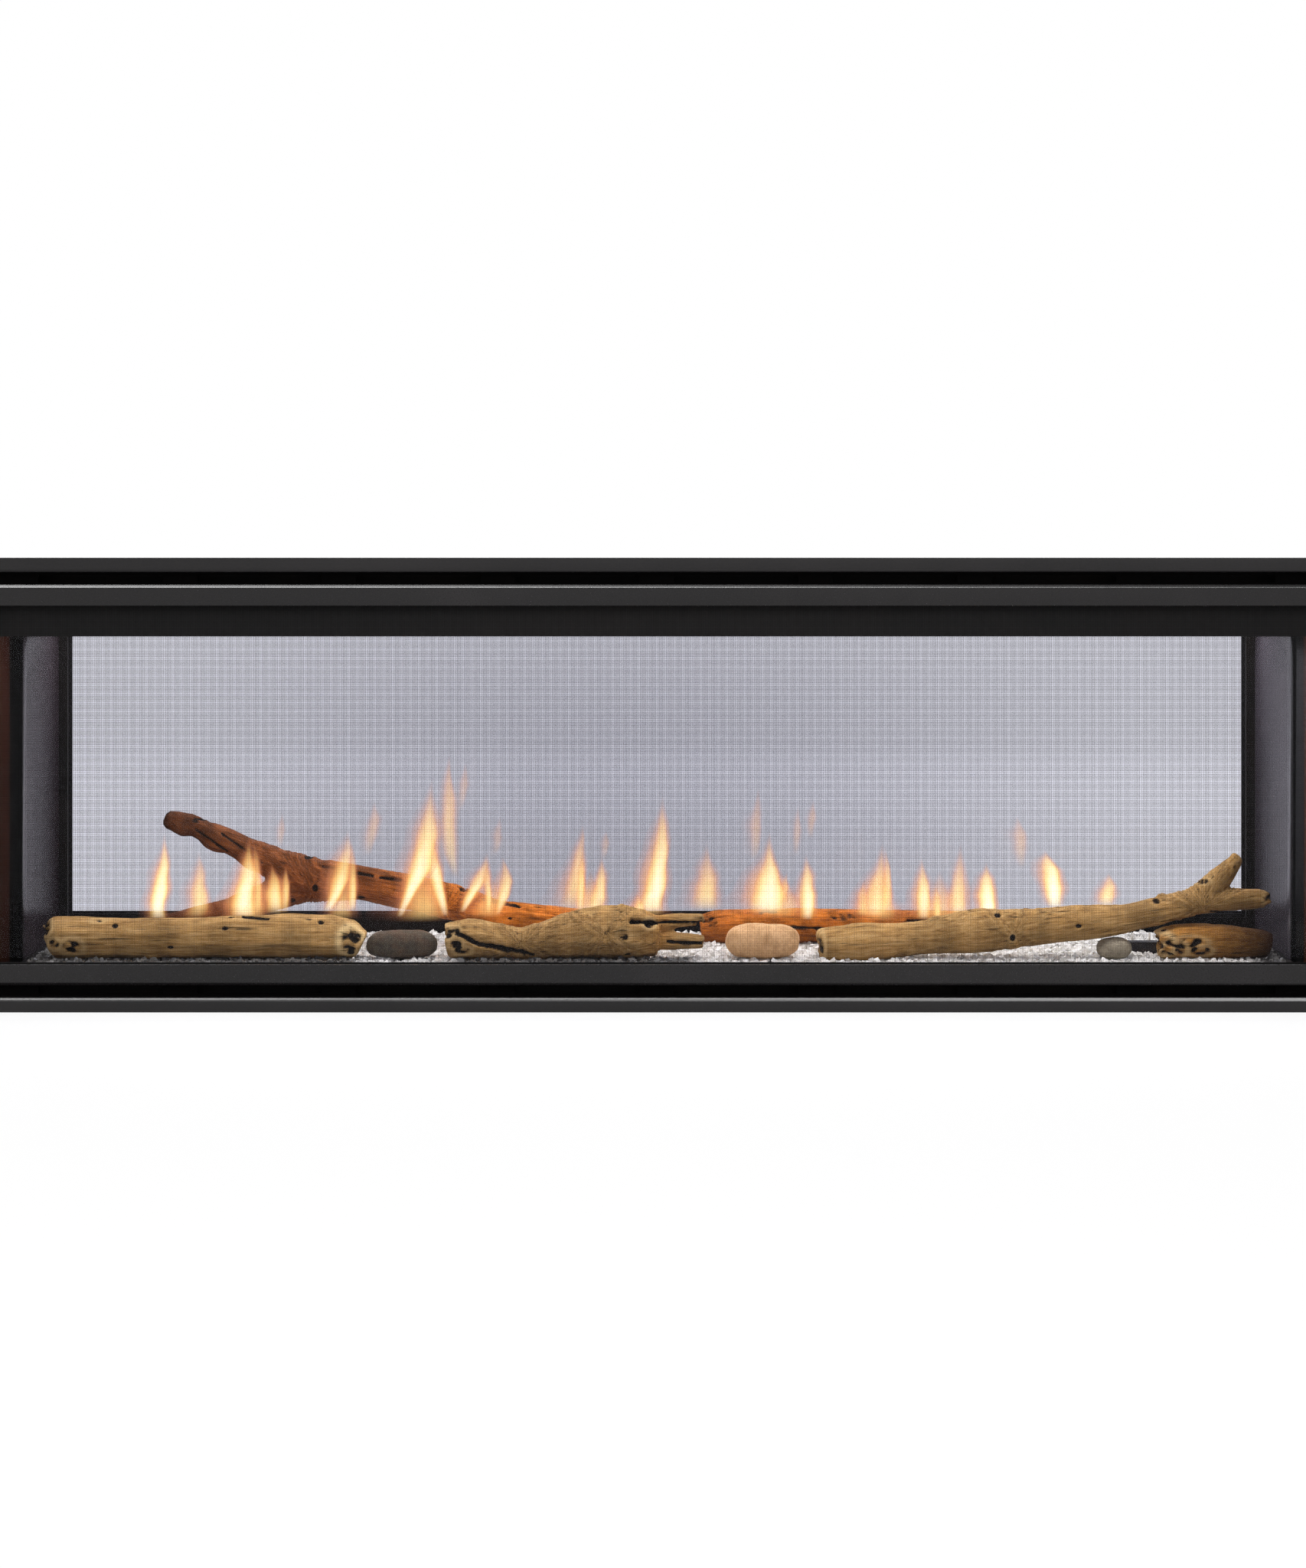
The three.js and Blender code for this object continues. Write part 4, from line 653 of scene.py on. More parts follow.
# Moulded ABS with a spark-eroded texture.
BLACK_ABS = SurfaceFinish(
    "textured_black_abs", "black_plastic", "#171718", "#222224", (0.46, 0.58), (0.9, 0.9, 0.9), 0.03,
    stain="#2A2A2C", stain_mm=40.0, stain_share=0.3,
)
# Moulded nylon, red all through: smooth, with a waxy sheen.
RED_NYLON = SurfaceFinish(
    "moulded_red_nylon", "red_plastic", "#8E1F1A", "#A32A22", (0.3, 0.42), (1.2, 1.2, 1.2), 0.015,
    stain="#741814", stain_mm=16.0, stain_share=0.4,
)
# Vinyl that the lever was dipped in: thick, soft and slightly uneven.
RED_DIP = SurfaceFinish(
    "dipped_red_vinyl", "handle_paint", "#9A1F18", "#AF2C22", (0.26, 0.4), (2.5, 2.5, 2.5), 0.05,
    stain="#6E1511", stain_mm=18.0, stain_share=0.5,
)
# Glazed steatite on the electrodes.
STEATITE = SurfaceFinish(
    "glazed_steatite", "rod_ceramic", "#DCD6C8", "#EFEADF", (0.18, 0.3), (3.0, 3.0, 3.0), 0.01,
    coat=0.3, stain="#8A7B66", stain_mm=9.0, stain_share=0.5,
)
# Graphited glass-fibre rope: soft, matt, laid in a twist of about 5 mm.
GLASS_ROPE = SurfaceFinish(
    "graphited_glass_rope", "gasket_rope", "#1B1B1C", "#3A3A3C", (0.85, 0.97), (5.0, 5.0, 5.0), 0.5,
    pattern=Pattern.TWIST,
)
# River stone, tumbled dry: matt, mottled and finely pitted.
TAN_STONE = SurfaceFinish(
    "tumbled_tan_stone", "tan_stone", "#BE9366", "#E2B684", (0.7, 0.85), (3.2, 3.2, 3.2), 0.35,
    specular=0.3, stain="#A2784B", stain_mm=12.0, stain_share=0.7,
)
GREY_STONE = SurfaceFinish(
    "tumbled_grey_stone", "tan_stone", "#857A66", "#ABA08A", (0.7, 0.85), (2.6, 2.6, 2.6), 0.35,
    specular=0.3, stain="#6A604E", stain_mm=10.0, stain_share=0.6,
)
DARK_STONE = SurfaceFinish(
    "tumbled_dark_stone", "dark_stone", "#332E27", "#544C3F", (0.6, 0.8), (3.5, 3.5, 3.5), 0.35,
    specular=0.3, stain="#6E4A30", stain_mm=16.0, stain_share=0.35,
)
# One refractory body in three hand-brushed stains: sun-bleached tan, red-brown, and a darker brown on the
# stub that is painted shade under the forked log. Their warm tones are painted firelight.
TAN_DRIFTWOOD = MouldedDriftwood(
    "weathered_driftwood", "driftwood", "#C6A16A", "#A88049", "#6C4C27", "#D8953E", "#8E5824",
)
SHADED_STUB_DRIFTWOOD = MouldedDriftwood(
    "shaded_stub_driftwood", "driftwood", "#B08446", "#855C2C", "#402A14", "#CC8A38", "#7E4A1C",
)
RED_DRIFTWOOD = MouldedDriftwood(
    "red_brown_driftwood", "burnt_driftwood", "#A06036", "#804824", "#4C2812", "#E2862C", "#8A4212",
    patch_mm=19.0, patch_dark=0.4,
)


Finish = SurfaceFinish | LinerEnamel | CeramicPane | MouldedDriftwood | CrushedGlass | GasFlame


class Shape:
    """A mesh under construction, in metres, with optional per-point values for its material."""

    def __init__(self) -> None:
        """Starts an empty mesh."""
        self.points: list[Vector] = []
        self.faces: list[tuple[int, ...]] = []
        self.values: dict[str, list[float]] = {}

    def loft(self, rings: Sequence[Sequence[Vector]]) -> None:
        """Adds a closed skin through rings of points, capped at both ends.

        Args:
            rings: Rings with the same number of points each.
        """
        start = len(self.points)
        count = len(rings[0])
        for ring in rings:
            self.points.extend(ring)
        for r in range(len(rings) - 1):
            for i in range(count):
                a = start + r * count + i
                b = start + r * count + (i + 1) % count
                self.faces.append((a, b, b + count, a + count))
        last = start + (len(rings) - 1) * count
        self.faces.append(tuple(start + i for i in reversed(range(count))))
        self.faces.append(tuple(last + i for i in range(count)))

    def turned(self, at: Vector, axis: Axis, profile: Profile, sides: int) -> None:
        """Adds a turned or prismatic piece.

        Args:
            at: The point where the profile's height is zero.
            axis: The way that the piece stands.
            profile: Radius and height pairs in millimetres, from one end to the other.
            sides: The number of sides.
        """
        turn = Vector((0, 0, 1)).rotation_difference(Vector(axis.value)).to_matrix()
        rings = []
        for radius, height in profile:
            ring = []
            for i in range(sides):
                angle = math.tau * i / sides
                corner = Vector((radius * math.cos(angle), radius * math.sin(angle), height)) * MM
                ring.append(at + turn @ corner)
            rings.append(ring)
        self.loft(rings)

    def hex_screw(self, at: Vector, axis: Axis) -> None:
        """Adds a hex washer head sheet-metal screw, seated at a point."""
        self.turned(at, axis, SCREW_WASHER, WASHER_SIDES)
        self.turned(at, axis, SCREW_HEAD, HEX_SIDES)

    def rivet(self, at: Vector, axis: Axis) -> None:
        """Adds a domed blind rivet with its sunk mandrel."""
        self.turned(at, axis, RIVET_HEAD, RIVET_SIDES)

    def finish(
        self,
        name: str,
        body: Body,
        surface: Finish,
        smooth_degrees: float = 35.0,
        replaces: Iterable[str] = (),
    ) -> bpy.types.Object:
        """Turns the mesh into a dressed piece that rides on a body.

        Args:
            name: The piece's name.
            body: The body that it rides on.
            surface: Its finish.
            smooth_degrees: Edges up to this angle are shaded smooth.
            replaces: The construction nodes that it stands for.

        Returns:
            The new object.
        """
        mesh = bpy.data.meshes.new(name)
        mesh.from_pydata(self.points, [], self.faces)
        for key, values in self.values.items():
            mesh.attributes.new(key, "FLOAT", "POINT").data.foreach_set("value", values)
        return place_piece(mesh, name, body, surface, smooth_degrees, replaces)


def place_piece(
    mesh: bpy.types.Mesh,
    name: str,
    body: Body,
    surface: Finish,
    smooth_degrees: float,
    replaces: Iterable[str],
) -> bpy.types.Object:
    """Makes an object of a finished mesh, dresses it and puts it on its body.

    Args:
        mesh: The mesh, in metres, in the part's frame.
        name: The piece's name.
        body: The body that it rides on.
        surface: Its finish.
        smooth_degrees: Edges up to this angle are shaded smooth.
        replaces: The construction nodes that it stands for.

    Returns:
        The new object.
    """
    mesh.validate()
    mesh.shade_smooth()
    mesh.set_sharp_from_angle(angle=math.radians(smooth_degrees))
    mesh.materials.clear()
    mesh.materials.append(surface.make())
    piece = bpy.data.objects.new(name, mesh)
    bpy.context.scene.collection.objects.link(piece)
    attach(piece, body.value)
    for node in replaces:
        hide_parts(node)
    report.info("%s: %d faces", name, len(mesh.polygons))
    return piece


def dress(nodes: Iterable[str], surface: Finish, edge_mm: float = 0.3, smooth_degrees: float = 32.0) -> None:
    """Gives construction nodes their finish and softens their edges.

    Args:
        nodes: The nodes' names.
        surface: Their finish.
        edge_mm: How wide each sharp edge is rounded, or 0 for none.
        smooth_degrees: Edges up to this angle are shaded smooth, or 0 to shade every face flat.
    """
    for name in nodes:
        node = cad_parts[name]
        node.data.materials.clear()
        node.data.materials.append(surface.make())
        if smooth_degrees > 0:
            node.data.shade_smooth()
        weld = node.modifiers.new("weld", "WELD")
        weld.merge_threshold = WELD_MM * MM
        if edge_mm > 0:
            bevel = node.modifiers.new("edges", "BEVEL")
            bevel.width = edge_mm * MM
            bevel.segments = 2
            bevel.limit_method = "ANGLE"
            bevel.angle_limit = math.radians(smooth_degrees)
            bevel.use_clamp_overlap = True
            bevel.harden_normals = True
        report.info("%s: dressed in %s", name, surface.name)


def paint_faces(node: str, low: Vector, high: Vector, surface: Finish) -> None:
    """Gives a second finish to those faces of a construction node that lie inside a box.

    Args:
        node: The construction node's name.
        low: The box's lowest corner.
        high: The box's highest corner.
        surface: The second finish.
    """
    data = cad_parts[node].data
    data.materials.append(surface.make())
    for face in data.polygons:
        corners = [data.vertices[v].co for v in face.vertices]
        if all(low[k] <= corner[k] <= high[k] for corner in corners for k in range(3)):
            face.material_index = 1


def end_of(node: str, axis: int, high: bool) -> Vector:
    """Finds the centre of a node's end along an axis.

    Args:
        node: The construction node's name.
        axis: 0, 1 or 2 for X, Y or Z.
        high: True for the end with the larger coordinate.

    Returns:
        The mean of the points that lie at that end.
    """
    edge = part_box(node)[1 if high else 0][axis]
    points = (v.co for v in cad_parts[node].data.vertices)
    ends = [point for point in points if abs(point[axis] - edge) < END_BAND_MM * MM]
    return sum(ends, Vector()) / len(ends)


class LampRole(Enum):
    """What a lamp is for."""

    FILL = "fill"
    HIGHLIGHT = "highlight"


@dataclass(frozen=True)
class Lamp:
    """One soft rectangular lamp, which is itself never seen. It fills or only gives highlights."""

    name: str
    at: Place
    aim: Place
    size: tuple[float, float]
    watts: float
    role: LampRole = LampRole.FILL

    def hang(self) -> None:
        """Adds the lamp to the scene."""
        data = bpy.data.lights.new(self.name, "AREA")
        data.shape = "RECTANGLE"
        data.size, data.size_y = self.size
        data.energy = self.watts
        lamp = bpy.data.objects.new(self.name, data)
        lamp.location = self.at
        lamp.rotation_euler = (Vector(self.aim) - Vector(self.at)).to_track_quat("-Z", "Y").to_euler()
        lamp.visible_camera = False
        lamp.visible_transmission = False
        lamp.visible_glossy = self.role is LampRole.HIGHLIGHT
        lamp.visible_diffuse = self.role is LampRole.FILL
        bpy.context.scene.collection.objects.link(lamp)


@dataclass
class Studio:
    """The camera, the lights, the white surroundings and the pale floor."""

    camera_distance: float = 2.916
    camera_height: float = 0.3956
    focal_mm: float = 74.83
    sensor_mm: float = 36.0
    photo_width: int = 1706
    photo_height: int = 2048
    principal_px: tuple[float, float] = (858.0, 745.0)
    clip: tuple[float, float] = (0.05, 100.0)
    # Lamps, in metres and watts. Each face has an edge strip so far ahead and up, and a fill so far aside,
    # ahead and up.
    overhead_height: float = 2.3
    overhead_size: tuple[float, float] = (2.6, 1.6)
    overhead_watts: float = 20.0
    edge_at: tuple[float, float] = (0.8, 2.2)
    edge_size: tuple[float, float] = (3.6, 0.4)
    edge_watts: float = 125.0
    fill_at: Place = (0.2, 3.6, 1.7)
    fill_size: tuple[float, float] = (2.6, 1.8)
    fill_watts: float = 72.0
    world_strength: float = 0.42
    floor_reach: float = 30.0
    floor_pale: str = "#F7F7F7"
    floor_glow: float = 0.86
    # The strip under the firebox ceiling by each pane lights the logs and the bed.
    strip_length: float = 1.18
    strip_depth: float = 0.06
    strip_drop: float = 0.008
    strip_aim: float = 0.075
    strip_watts: float = 3.4
    transparent_bounces: int = 32

    def camera(self) -> None:
        """Places a level camera in front of the front face, with the photograph's framing."""
        data = bpy.data.cameras.new("camera")
        data.lens = self.focal_mm
        data.sensor_width = self.sensor_mm
        data.shift_x = (self.photo_width / 2 - self.principal_px[0]) / self.photo_height
        data.shift_y = (self.principal_px[1] - self.photo_height / 2) / self.photo_height
        data.clip_start, data.clip_end = self.clip
        camera = bpy.data.objects.new("camera", data)
        camera.location = (0.0, cad_box[0].y - self.camera_distance, self.camera_height)
        camera.rotation_euler = (math.pi / 2, 0.0, 0.0)
        bpy.context.scene.collection.objects.link(camera)
        bpy.context.scene.camera = camera

    def lights(self) -> None:
        """Hangs lamps overhead and before each face, and a strip under the firebox ceiling by each pane."""
        middle = tuple((cad_box[0] + cad_box[1]) / 2)
        overhead = (0.0, 0.0, self.overhead_height)
        Lamp("overhead", overhead, middle, self.overhead_size, self.overhead_watts).hang()
        for face in Side:
            name = face.name.lower()
            ahead = (0.0, face.value * self.edge_at[0], self.edge_at[1])
            edge_role = LampRole.HIGHLIGHT
            Lamp(name + "_edge_strip", ahead, middle, self.edge_size, self.edge_watts, edge_role).hang()
            before = (face.value * self.fill_at[0], face.value * self.fill_at[1], self.fill_at[2])
            Lamp(name + "_fill", before, middle, self.fill_size, self.fill_watts).hang()
        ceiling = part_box("firebox_ceiling")[0].z - self.strip_drop
        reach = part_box("flue_baffle")[1].y + self.strip_depth
        strip_size = (self.strip_length, self.strip_depth)
        for face in Side:
            at = (0.0, face.value * reach, ceiling)
            aim = (0.0, face.value * self.strip_aim, 0.0)
            Lamp(face.name.lower() + "_strip", at, aim, strip_size, self.strip_watts).hang()

    def seen(self, tree: bpy.types.NodeTree) -> bpy.types.NodeSocket:
        """Adds a value that is 1 on rays of sight, gloss and glass, and 0 on rays of light.

        Args:
            tree: The node tree.

        Returns:
            The socket that gives the value.
        """
        path = add_node(tree, "ShaderNodeLightPath")
        either = add_node(tree, "ShaderNodeMath", {"operation": "MAXIMUM"}, {
            0: path.outputs["Is Camera Ray"], 1: path.outputs["Is Glossy Ray"],
        })
        return add_node(tree, "ShaderNodeMath", {"operation": "MAXIMUM"}, {
            0: either.outputs["Value"], 1: path.outputs["Is Transmission Ray"],
        }).outputs["Value"]

    def surroundings(self) -> None:
        """Makes the world: plain light on the object, and white wherever it is seen."""
        world = bpy.data.worlds.new("studio")
        bpy.context.scene.world = world
        world.use_nodes = True
        tree = world.node_tree
        tree.nodes.clear()
        light, white = (
            add_node(tree, "ShaderNodeBackground", {"Color": linear("#FFFFFF"), "Strength": strength})
            for strength in (self.world_strength, 1.0)
        )
        mix = add_node(tree, "ShaderNodeMixShader", links={
            0: self.seen(tree), 1: light.outputs["Background"], 2: white.outputs["Background"],
        })
        add_node(tree, "ShaderNodeOutputWorld", links={"Surface": mix.outputs["Shader"]})

    def floor(self) -> None:
        """Lays a pale floor that keeps the object's shadow."""
        mesh = bpy.data.meshes.new("floor")
        reach = self.floor_reach
        corners = [(-reach, -reach, 0.0), (reach, -reach, 0.0), (reach, reach, 0.0), (-reach, reach, 0.0)]
        mesh.from_pydata(corners, [], [(0, 1, 2, 3)])
        material, shader = start_material("pale_floor", {
            "Base Color": linear(self.floor_pale), "Roughness": 0.9, "Specular IOR Level": 0.1,
        })
        tree = material.node_tree
        glow = add_node(tree, "ShaderNodeEmission", {"Color": linear("#FFFFFF"), "Strength": 1.0})
        share = add_node(tree, "ShaderNodeMath", {
            "operation": "MULTIPLY", 1: self.floor_glow,
        }, {0: self.seen(tree)})
        mix = add_node(tree, "ShaderNodeMixShader", links={
            0: share.outputs["Value"], 1: shader.outputs["BSDF"], 2: glow.outputs["Emission"],
        })
        output = next(node for node in tree.nodes if node.type == "OUTPUT_MATERIAL")
        tree.links.new(mix.outputs["Shader"], output.inputs["Surface"])
        mesh.materials.append(material)
        floor = bpy.data.objects.new("floor", mesh)
        bpy.context.scene.collection.objects.link(floor)

    def build(self) -> None:
        """Makes the whole studio, the camera first."""
        self.camera()
        self.lights()
        self.surroundings()
        self.floor()
        bpy.context.scene.view_settings.view_transform = "Standard"
        bpy.context.scene.cycles.transparent_max_bounces = self.transparent_bounces


@dataclass
class Casing:
    """The sheet casing with its vent collars and screws."""

    screw_inset_mm: float = 9.0
    screws_along: int = 9
    screws_across: int = 4
    rivets: int = 8
    flange_middle_mm: float = 5.5
    flange_mm: float = 1.5
    sheet_mm: float = 2.0
    painted_reach: float = 0.62
    painted_below: float = 0.3936

    def dress(self) -> None:
        """Gives the casing's sheets and collars their finishes."""
        dress(["casing_bottom", "casing_top", "casing_right", "casing_left", "outer_collar"], GALVANISED)
        dress(["casing_front", "casing_rear"], PLATE_PAINT)
        # The faces of the top below roof level, which show through the vent slots, take black heat paint:
        # partly real paint and partly painted shade inside the slots.
        low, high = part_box("casing_top")
        inside = Vector((self.painted_reach, high.y, self.painted_below))
        paint_faces("casing_top", Vector((-self.painted_reach, low.y, low.z)), inside, HEAT_PAINT)
        dress(["inner_collar"], STAINLESS)

    def screws(self) -> None:
        """Sets hex screws along the top's long edges and down both sides."""
        shape = Shape()
        low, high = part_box("casing_top")
        sheet_top = high.z - self.sheet_mm * MM
        inset = self.screw_inset_mm * MM
        for k in range(self.screws_along):
            x = low.x + inset * 2 + (high.x - low.x - 4 * inset) * k / (self.screws_along - 1)
            for y in (low.y + inset, high.y - inset):
                shape.hex_screw(Vector((x, y, sheet_top)), Axis.Z)
        for node, axis, outer in (("casing_right", Axis.X, 1), ("casing_left", Axis.LEFT, 0)):
            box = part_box(node)
            x = box[outer].x
            for k in range(self.screws_across):
                y = box[0].y + inset + (box[1].y - box[0].y - 2 * inset) * k / (self.screws_across - 1)
                for z in (box[0].z + inset / 2, box[1].z - inset):
                    shape.hex_screw(Vector((x, y, z)), axis)
        shape.finish("casing_screws", Body.HOUSING, DRAWN_ALUMINIUM)

    def collar_rivets(self) -> None:
        """Sets blind rivets round the flange of the outer collar."""
        shape = Shape()
        low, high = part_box("outer_collar")
        radius = (high.x - low.x) / 2 - self.flange_middle_mm * MM
        for k in range(self.rivets):
            angle = math.tau * (k + 0.5) / self.rivets
            flange_top = low.z + self.flange_mm * MM
            shape.rivet(Vector((radius * math.cos(angle), radius * math.sin(angle), flange_top)), Axis.Z)
        shape.finish("collar_rivets", Body.HOUSING, DRAWN_ALUMINIUM)

    def build(self) -> None:
        """Dresses the casing and adds its fasteners."""
        self.dress()
        self.screws()
        self.collar_rivets()


@dataclass
class Firebox:
    """The black inner shell, its glossy side liners and the media deck."""

    def build(self) -> None:
        """Gives the shell and the liners their finishes."""
        dress(["firebox_floor", "firebox_right_wall", "firebox_left_wall", "firebox_ceiling"], HEAT_PAINT)
        dress(["flue_baffle", "media_deck"], HEAT_PAINT)
        dress(["right_liner"], LinerEnamel())
        dress(["left_liner"], SHADED_LEFT_ENAMEL)


@dataclass
class Burner:
    """The burner, the mixer tube and the pilot."""

    sheet_edge_mm: float = 0.15
    glaze_edge_mm: float = 0.2

    def build(self) -> None:
        """Gives the burner train and the pilot their finishes."""
        for nodes, surface in (
            (["burner_trough", "burner_top", "mixer_tube"], STAINLESS),
            (["pilot_bracket", "pilot_hood"], BLUED_STEEL),
            (["air_shutter"], GALVANISED),
        ):
            dress(nodes, surface, edge_mm=self.sheet_edge_mm)
        dress(["orifice_holder"], BRASS)
        dress(["igniter_rod", "flame_sensor_rod"], STEATITE, edge_mm=self.glaze_edge_mm)


@dataclass
class MediaBed:
    """The bed of crushed glass: a packed base and loose shards over it."""

    pitch_mm: float = 6.4
    shard_mm: tuple[float, float] = (2.2, 4.3)
    sunk_mm: float = 1.0
    heap_mm: float = 2.0
    # Painted shade on the glass, kept in its soot value: dark in front of the two front logs, where their
    # shadow falls, and at both ends of the bed; the base takes a share of it.
    shade_reach_mm: float = 26.0
    shade_fade_mm: float = 18.0
    shade_share: float = 0.85
    end_shade_mm: float = 44.0
    base_shade_share: float = 0.7
    base_drop_mm: float = 0.6
    # The bed falls away over this much of its edge, at this slope.
    slope_mm: float = 8.0
    slope: float = 0.6
    # A shard's axis leans towards upright by its flatness, and its corners lie in these shares of its size.
    flatness: float = 1.5
    shard_shares: tuple[tuple[float, float], ...] = ((0.45, 1.0), (0.35, 0.9), (0.25, 0.6))
    shard_faces: tuple[tuple[int, ...], ...] = (
        (0, 1, 3, 2), (4, 6, 7, 5), (0, 4, 5, 1), (2, 3, 7, 6), (0, 2, 6, 4), (1, 5, 7, 3),
    )
    seed: int = 11

    def shard(self, shape: Shape, at: Vector, size: float, draw: random.Random) -> None:
        """Adds one broken piece: a skewed block in a random pose.

        Args:
            shape: The mesh that takes it.
            at: Its middle.
            size: Its half length, in metres.
            draw: The source of random numbers.
        """
        angle = draw.uniform(0, math.tau)
        axis = Vector((draw.uniform(-1, 1), draw.uniform(-1, 1), draw.uniform(-1, 1) + self.flatness))
        turn = Matrix.Rotation(angle, 3, axis.normalized())
        start = len(shape.points)
        for signs in product((-1, 1), repeat=3):
            corner = Vector([sign * draw.uniform(*share) for sign, share in zip(signs, self.shard_shares)])
            shape.points.append(at + turn @ corner * size)
        shape.faces.extend(tuple(start + k for k in face) for face in self.shard_faces)

    def glass_shade_at(self, x: float, y: float, bed: Box, logs: Sequence[Box]) -> float:
        """Works out the painted shade on the glass: dark along the fronts of the two front logs, where their
        shadow falls, and at both ends.

        Args:
            x: The place along the bed.
            y: The place across it.
            bed: The bed's box.
            logs: The boxes of the two logs.

        Returns:
            0 for no shade, up to 1 for black.
        """
        from_end = min(x - bed[0].x, bed[1].x - x)
        soot = min(1.0, (self.end_shade_mm * MM - from_end) / (self.shade_fade_mm * MM))
        for log_low, log_high in logs:
            inside = min(x - log_low.x, log_high.x - x) / (self.shade_fade_mm * MM)
            ahead = abs(log_low.y - y) - self.shade_reach_mm * MM
            soot = max(soot, min(1.0, inside, 1.0 - ahead / (self.shade_fade_mm * MM)))
        return max(0.0, soot) * self.shade_share

    def build(self) -> None:
        """Scatters shards over the bed, clear of the pilot's notch."""
        draw = random.Random(self.seed)
        low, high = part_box("glass_media")
        logs = [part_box("left_log"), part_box("middle_log")]
        pilot_low, pilot_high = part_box("pilot_bracket")
        margin = self.shard_mm[1] * MM
        pitch = self.pitch_mm * MM
        shape = Shape()
        shape.values = {"soot": []}
        columns = int((high.x - low.x - 2 * margin) / pitch)
        rows = int((high.y - low.y - 2 * margin) / pitch)
        for c in range(columns + 1):
            for r in range(rows + 1):
                x = low.x + margin + c * pitch + draw.uniform(-0.5, 0.5) * pitch
                y = low.y + margin + r * pitch + draw.uniform(-0.5, 0.5) * pitch
                size = draw.uniform(*self.shard_mm) * MM
                rise = draw.random() ** 2 * self.heap_mm * MM
                near_pilot = pilot_low.x - margin < x < pilot_high.x + margin
                if near_pilot and pilot_low.y - margin < y < pilot_high.y + margin:
                    continue
                edge = min(x - low.x, high.x - x, y - low.y, high.y - y)
                sink = self.sunk_mm * MM + max(0.0, self.slope_mm * MM - edge) * self.slope
                self.shard(shape, Vector((x, y, high.z - sink + rise)), size, draw)
                shades = shape.values["soot"]
                soot = self.glass_shade_at(x, y, (low, high), logs)
                shades.extend([soot] * (len(shape.points) - len(shades)))
        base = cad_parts["glass_media"].data
        start = len(shape.points)
        drop = Vector((0, 0, self.base_drop_mm * MM))
        for vertex in base.vertices:
            shape.points.append(vertex.co - drop)
            soot = self.glass_shade_at(vertex.co.x, vertex.co.y, (low, high), logs)
            shape.values["soot"].append(soot * self.base_shade_share)
        shape.faces.extend(tuple(start + v for v in p.vertices) for p in base.polygons)
        shape.finish(
            "crushed_glass_bed", Body.HOUSING, CrushedGlass(),
            smooth_degrees=5.0, replaces=["glass_media"],
        )


class Mould(NamedTuple):
    """A log's fine mesh while it is being carved, with the values that its material reads."""

    places: np.ndarray
    normals: np.ndarray
    low: np.ndarray
    size: np.ndarray
    chips: np.ndarray
    shift: np.ndarray
    char: np.ndarray
    bleach: np.ndarray


@dataclass(frozen=True)
class Hollow:
    """A hole, knot or rotted end. Its place is in shares of the log's box, its radii in millimetres.

    Its depth is in millimetres and is below zero for a bulge. Char blackens it, raggedness breaks up its
    edge, and rim is how pale its lip is.
    """

    along: float
    through: float
    up: float
    radii: tuple[float, float, float]
    depth: float
    char: float = 1.0
    ragged: float = 0.0
    rim: float = 0.0
    # How steep the bowl and the char's edge are, how the chips tear the edge, and where the lip stands in
    # shares of the radius and how wide it is.
    bowl: ClassVar[float] = 1.8
    stain: ClassVar[float] = 2.4
    tear: ClassVar[tuple[float, float, float]] = (0.5, 1.6, 1.5)
    lip: ClassVar[tuple[float, float]] = (1.05, 0.28)

    def press(self, mould: Mould) -> None:
        """Presses the hollow into a log, blackens it and bleaches its rim.

        Args:
            mould: The log, changed in place.
        """
        centre = mould.low + np.array([self.along, self.through, self.up]) * mould.size
        reach = np.linalg.norm((mould.places - centre) / (np.array(self.radii) * MM), axis=1)
        near = np.clip(1 - reach, 0, 1)
        soft = np.clip(near * self.bowl, 0, 1)
        soft = soft * soft * (3 - 2 * soft)
        broken = 1 - self.ragged * (self.tear[0] + self.tear[1] * mould.chips)
        broken = np.clip(broken, 0, self.tear[2])
        mould.shift[:] -= self.depth * MM * soft * broken
        char = self.char * np.clip(near * self.stain, 0, 1) * np.clip(broken, 0, 1)
        mould.char[:] = np.maximum(mould.char, char)
        rim = np.exp(-(((reach - self.lip[0]) / self.lip[1]) ** 2)) * self.rim
        mould.bleach[:] = np.maximum(mould.bleach, rim)


@dataclass(frozen=True)
class Crack:
    """A dark split on the front of a log, through points in shares of the log's box."""

    points: tuple[tuple[float, float], ...]
    width: float = 2.6
    depth: float = 4.0
    # How steep the walls and the char's edge are, how uneven the width is, and how far round it goes.
    walls: ClassVar[float] = 1.6
    stain: ClassVar[float] = 2.2
    wobble: ClassVar[float] = 0.4
    turned_away: ClassVar[float] = 0.1

    def press(self, mould: Mould) -> None:
        """Splits a log's front along the points and blackens the split.

        Args:
            mould: The log, changed in place.
        """
        flat = mould.places[:, [0, 2]]
        stops = [mould.low[[0, 2]] + np.array(point) * mould.size[[0, 2]] for point in self.points]
        best = np.full(len(flat), 1.0)
        for start, end in zip(stops, stops[1:]):
            run = end - start
            share = np.clip((flat - start) @ run / (run @ run), 0, 1)
            best = np.minimum(best, np.linalg.norm(flat - start - share[:, None] * run, axis=1))
        width = self.width * MM * (1 + self.wobble * mould.chips)
        near = np.clip(1 - best / width, 0, 1) * (mould.normals[:, 1] < self.turned_away)
        mould.shift[:] -= self.depth * MM * np.clip(near * self.walls, 0, 1)
        mould.char[:] = np.maximum(mould.char, np.clip(near * self.stain, 0, 1))


@dataclass(frozen=True)
class Limb:
    """A straight run of a log, from one point to another in shares of the log's box."""

    start: tuple[float, float]
    end: tuple[float, float]


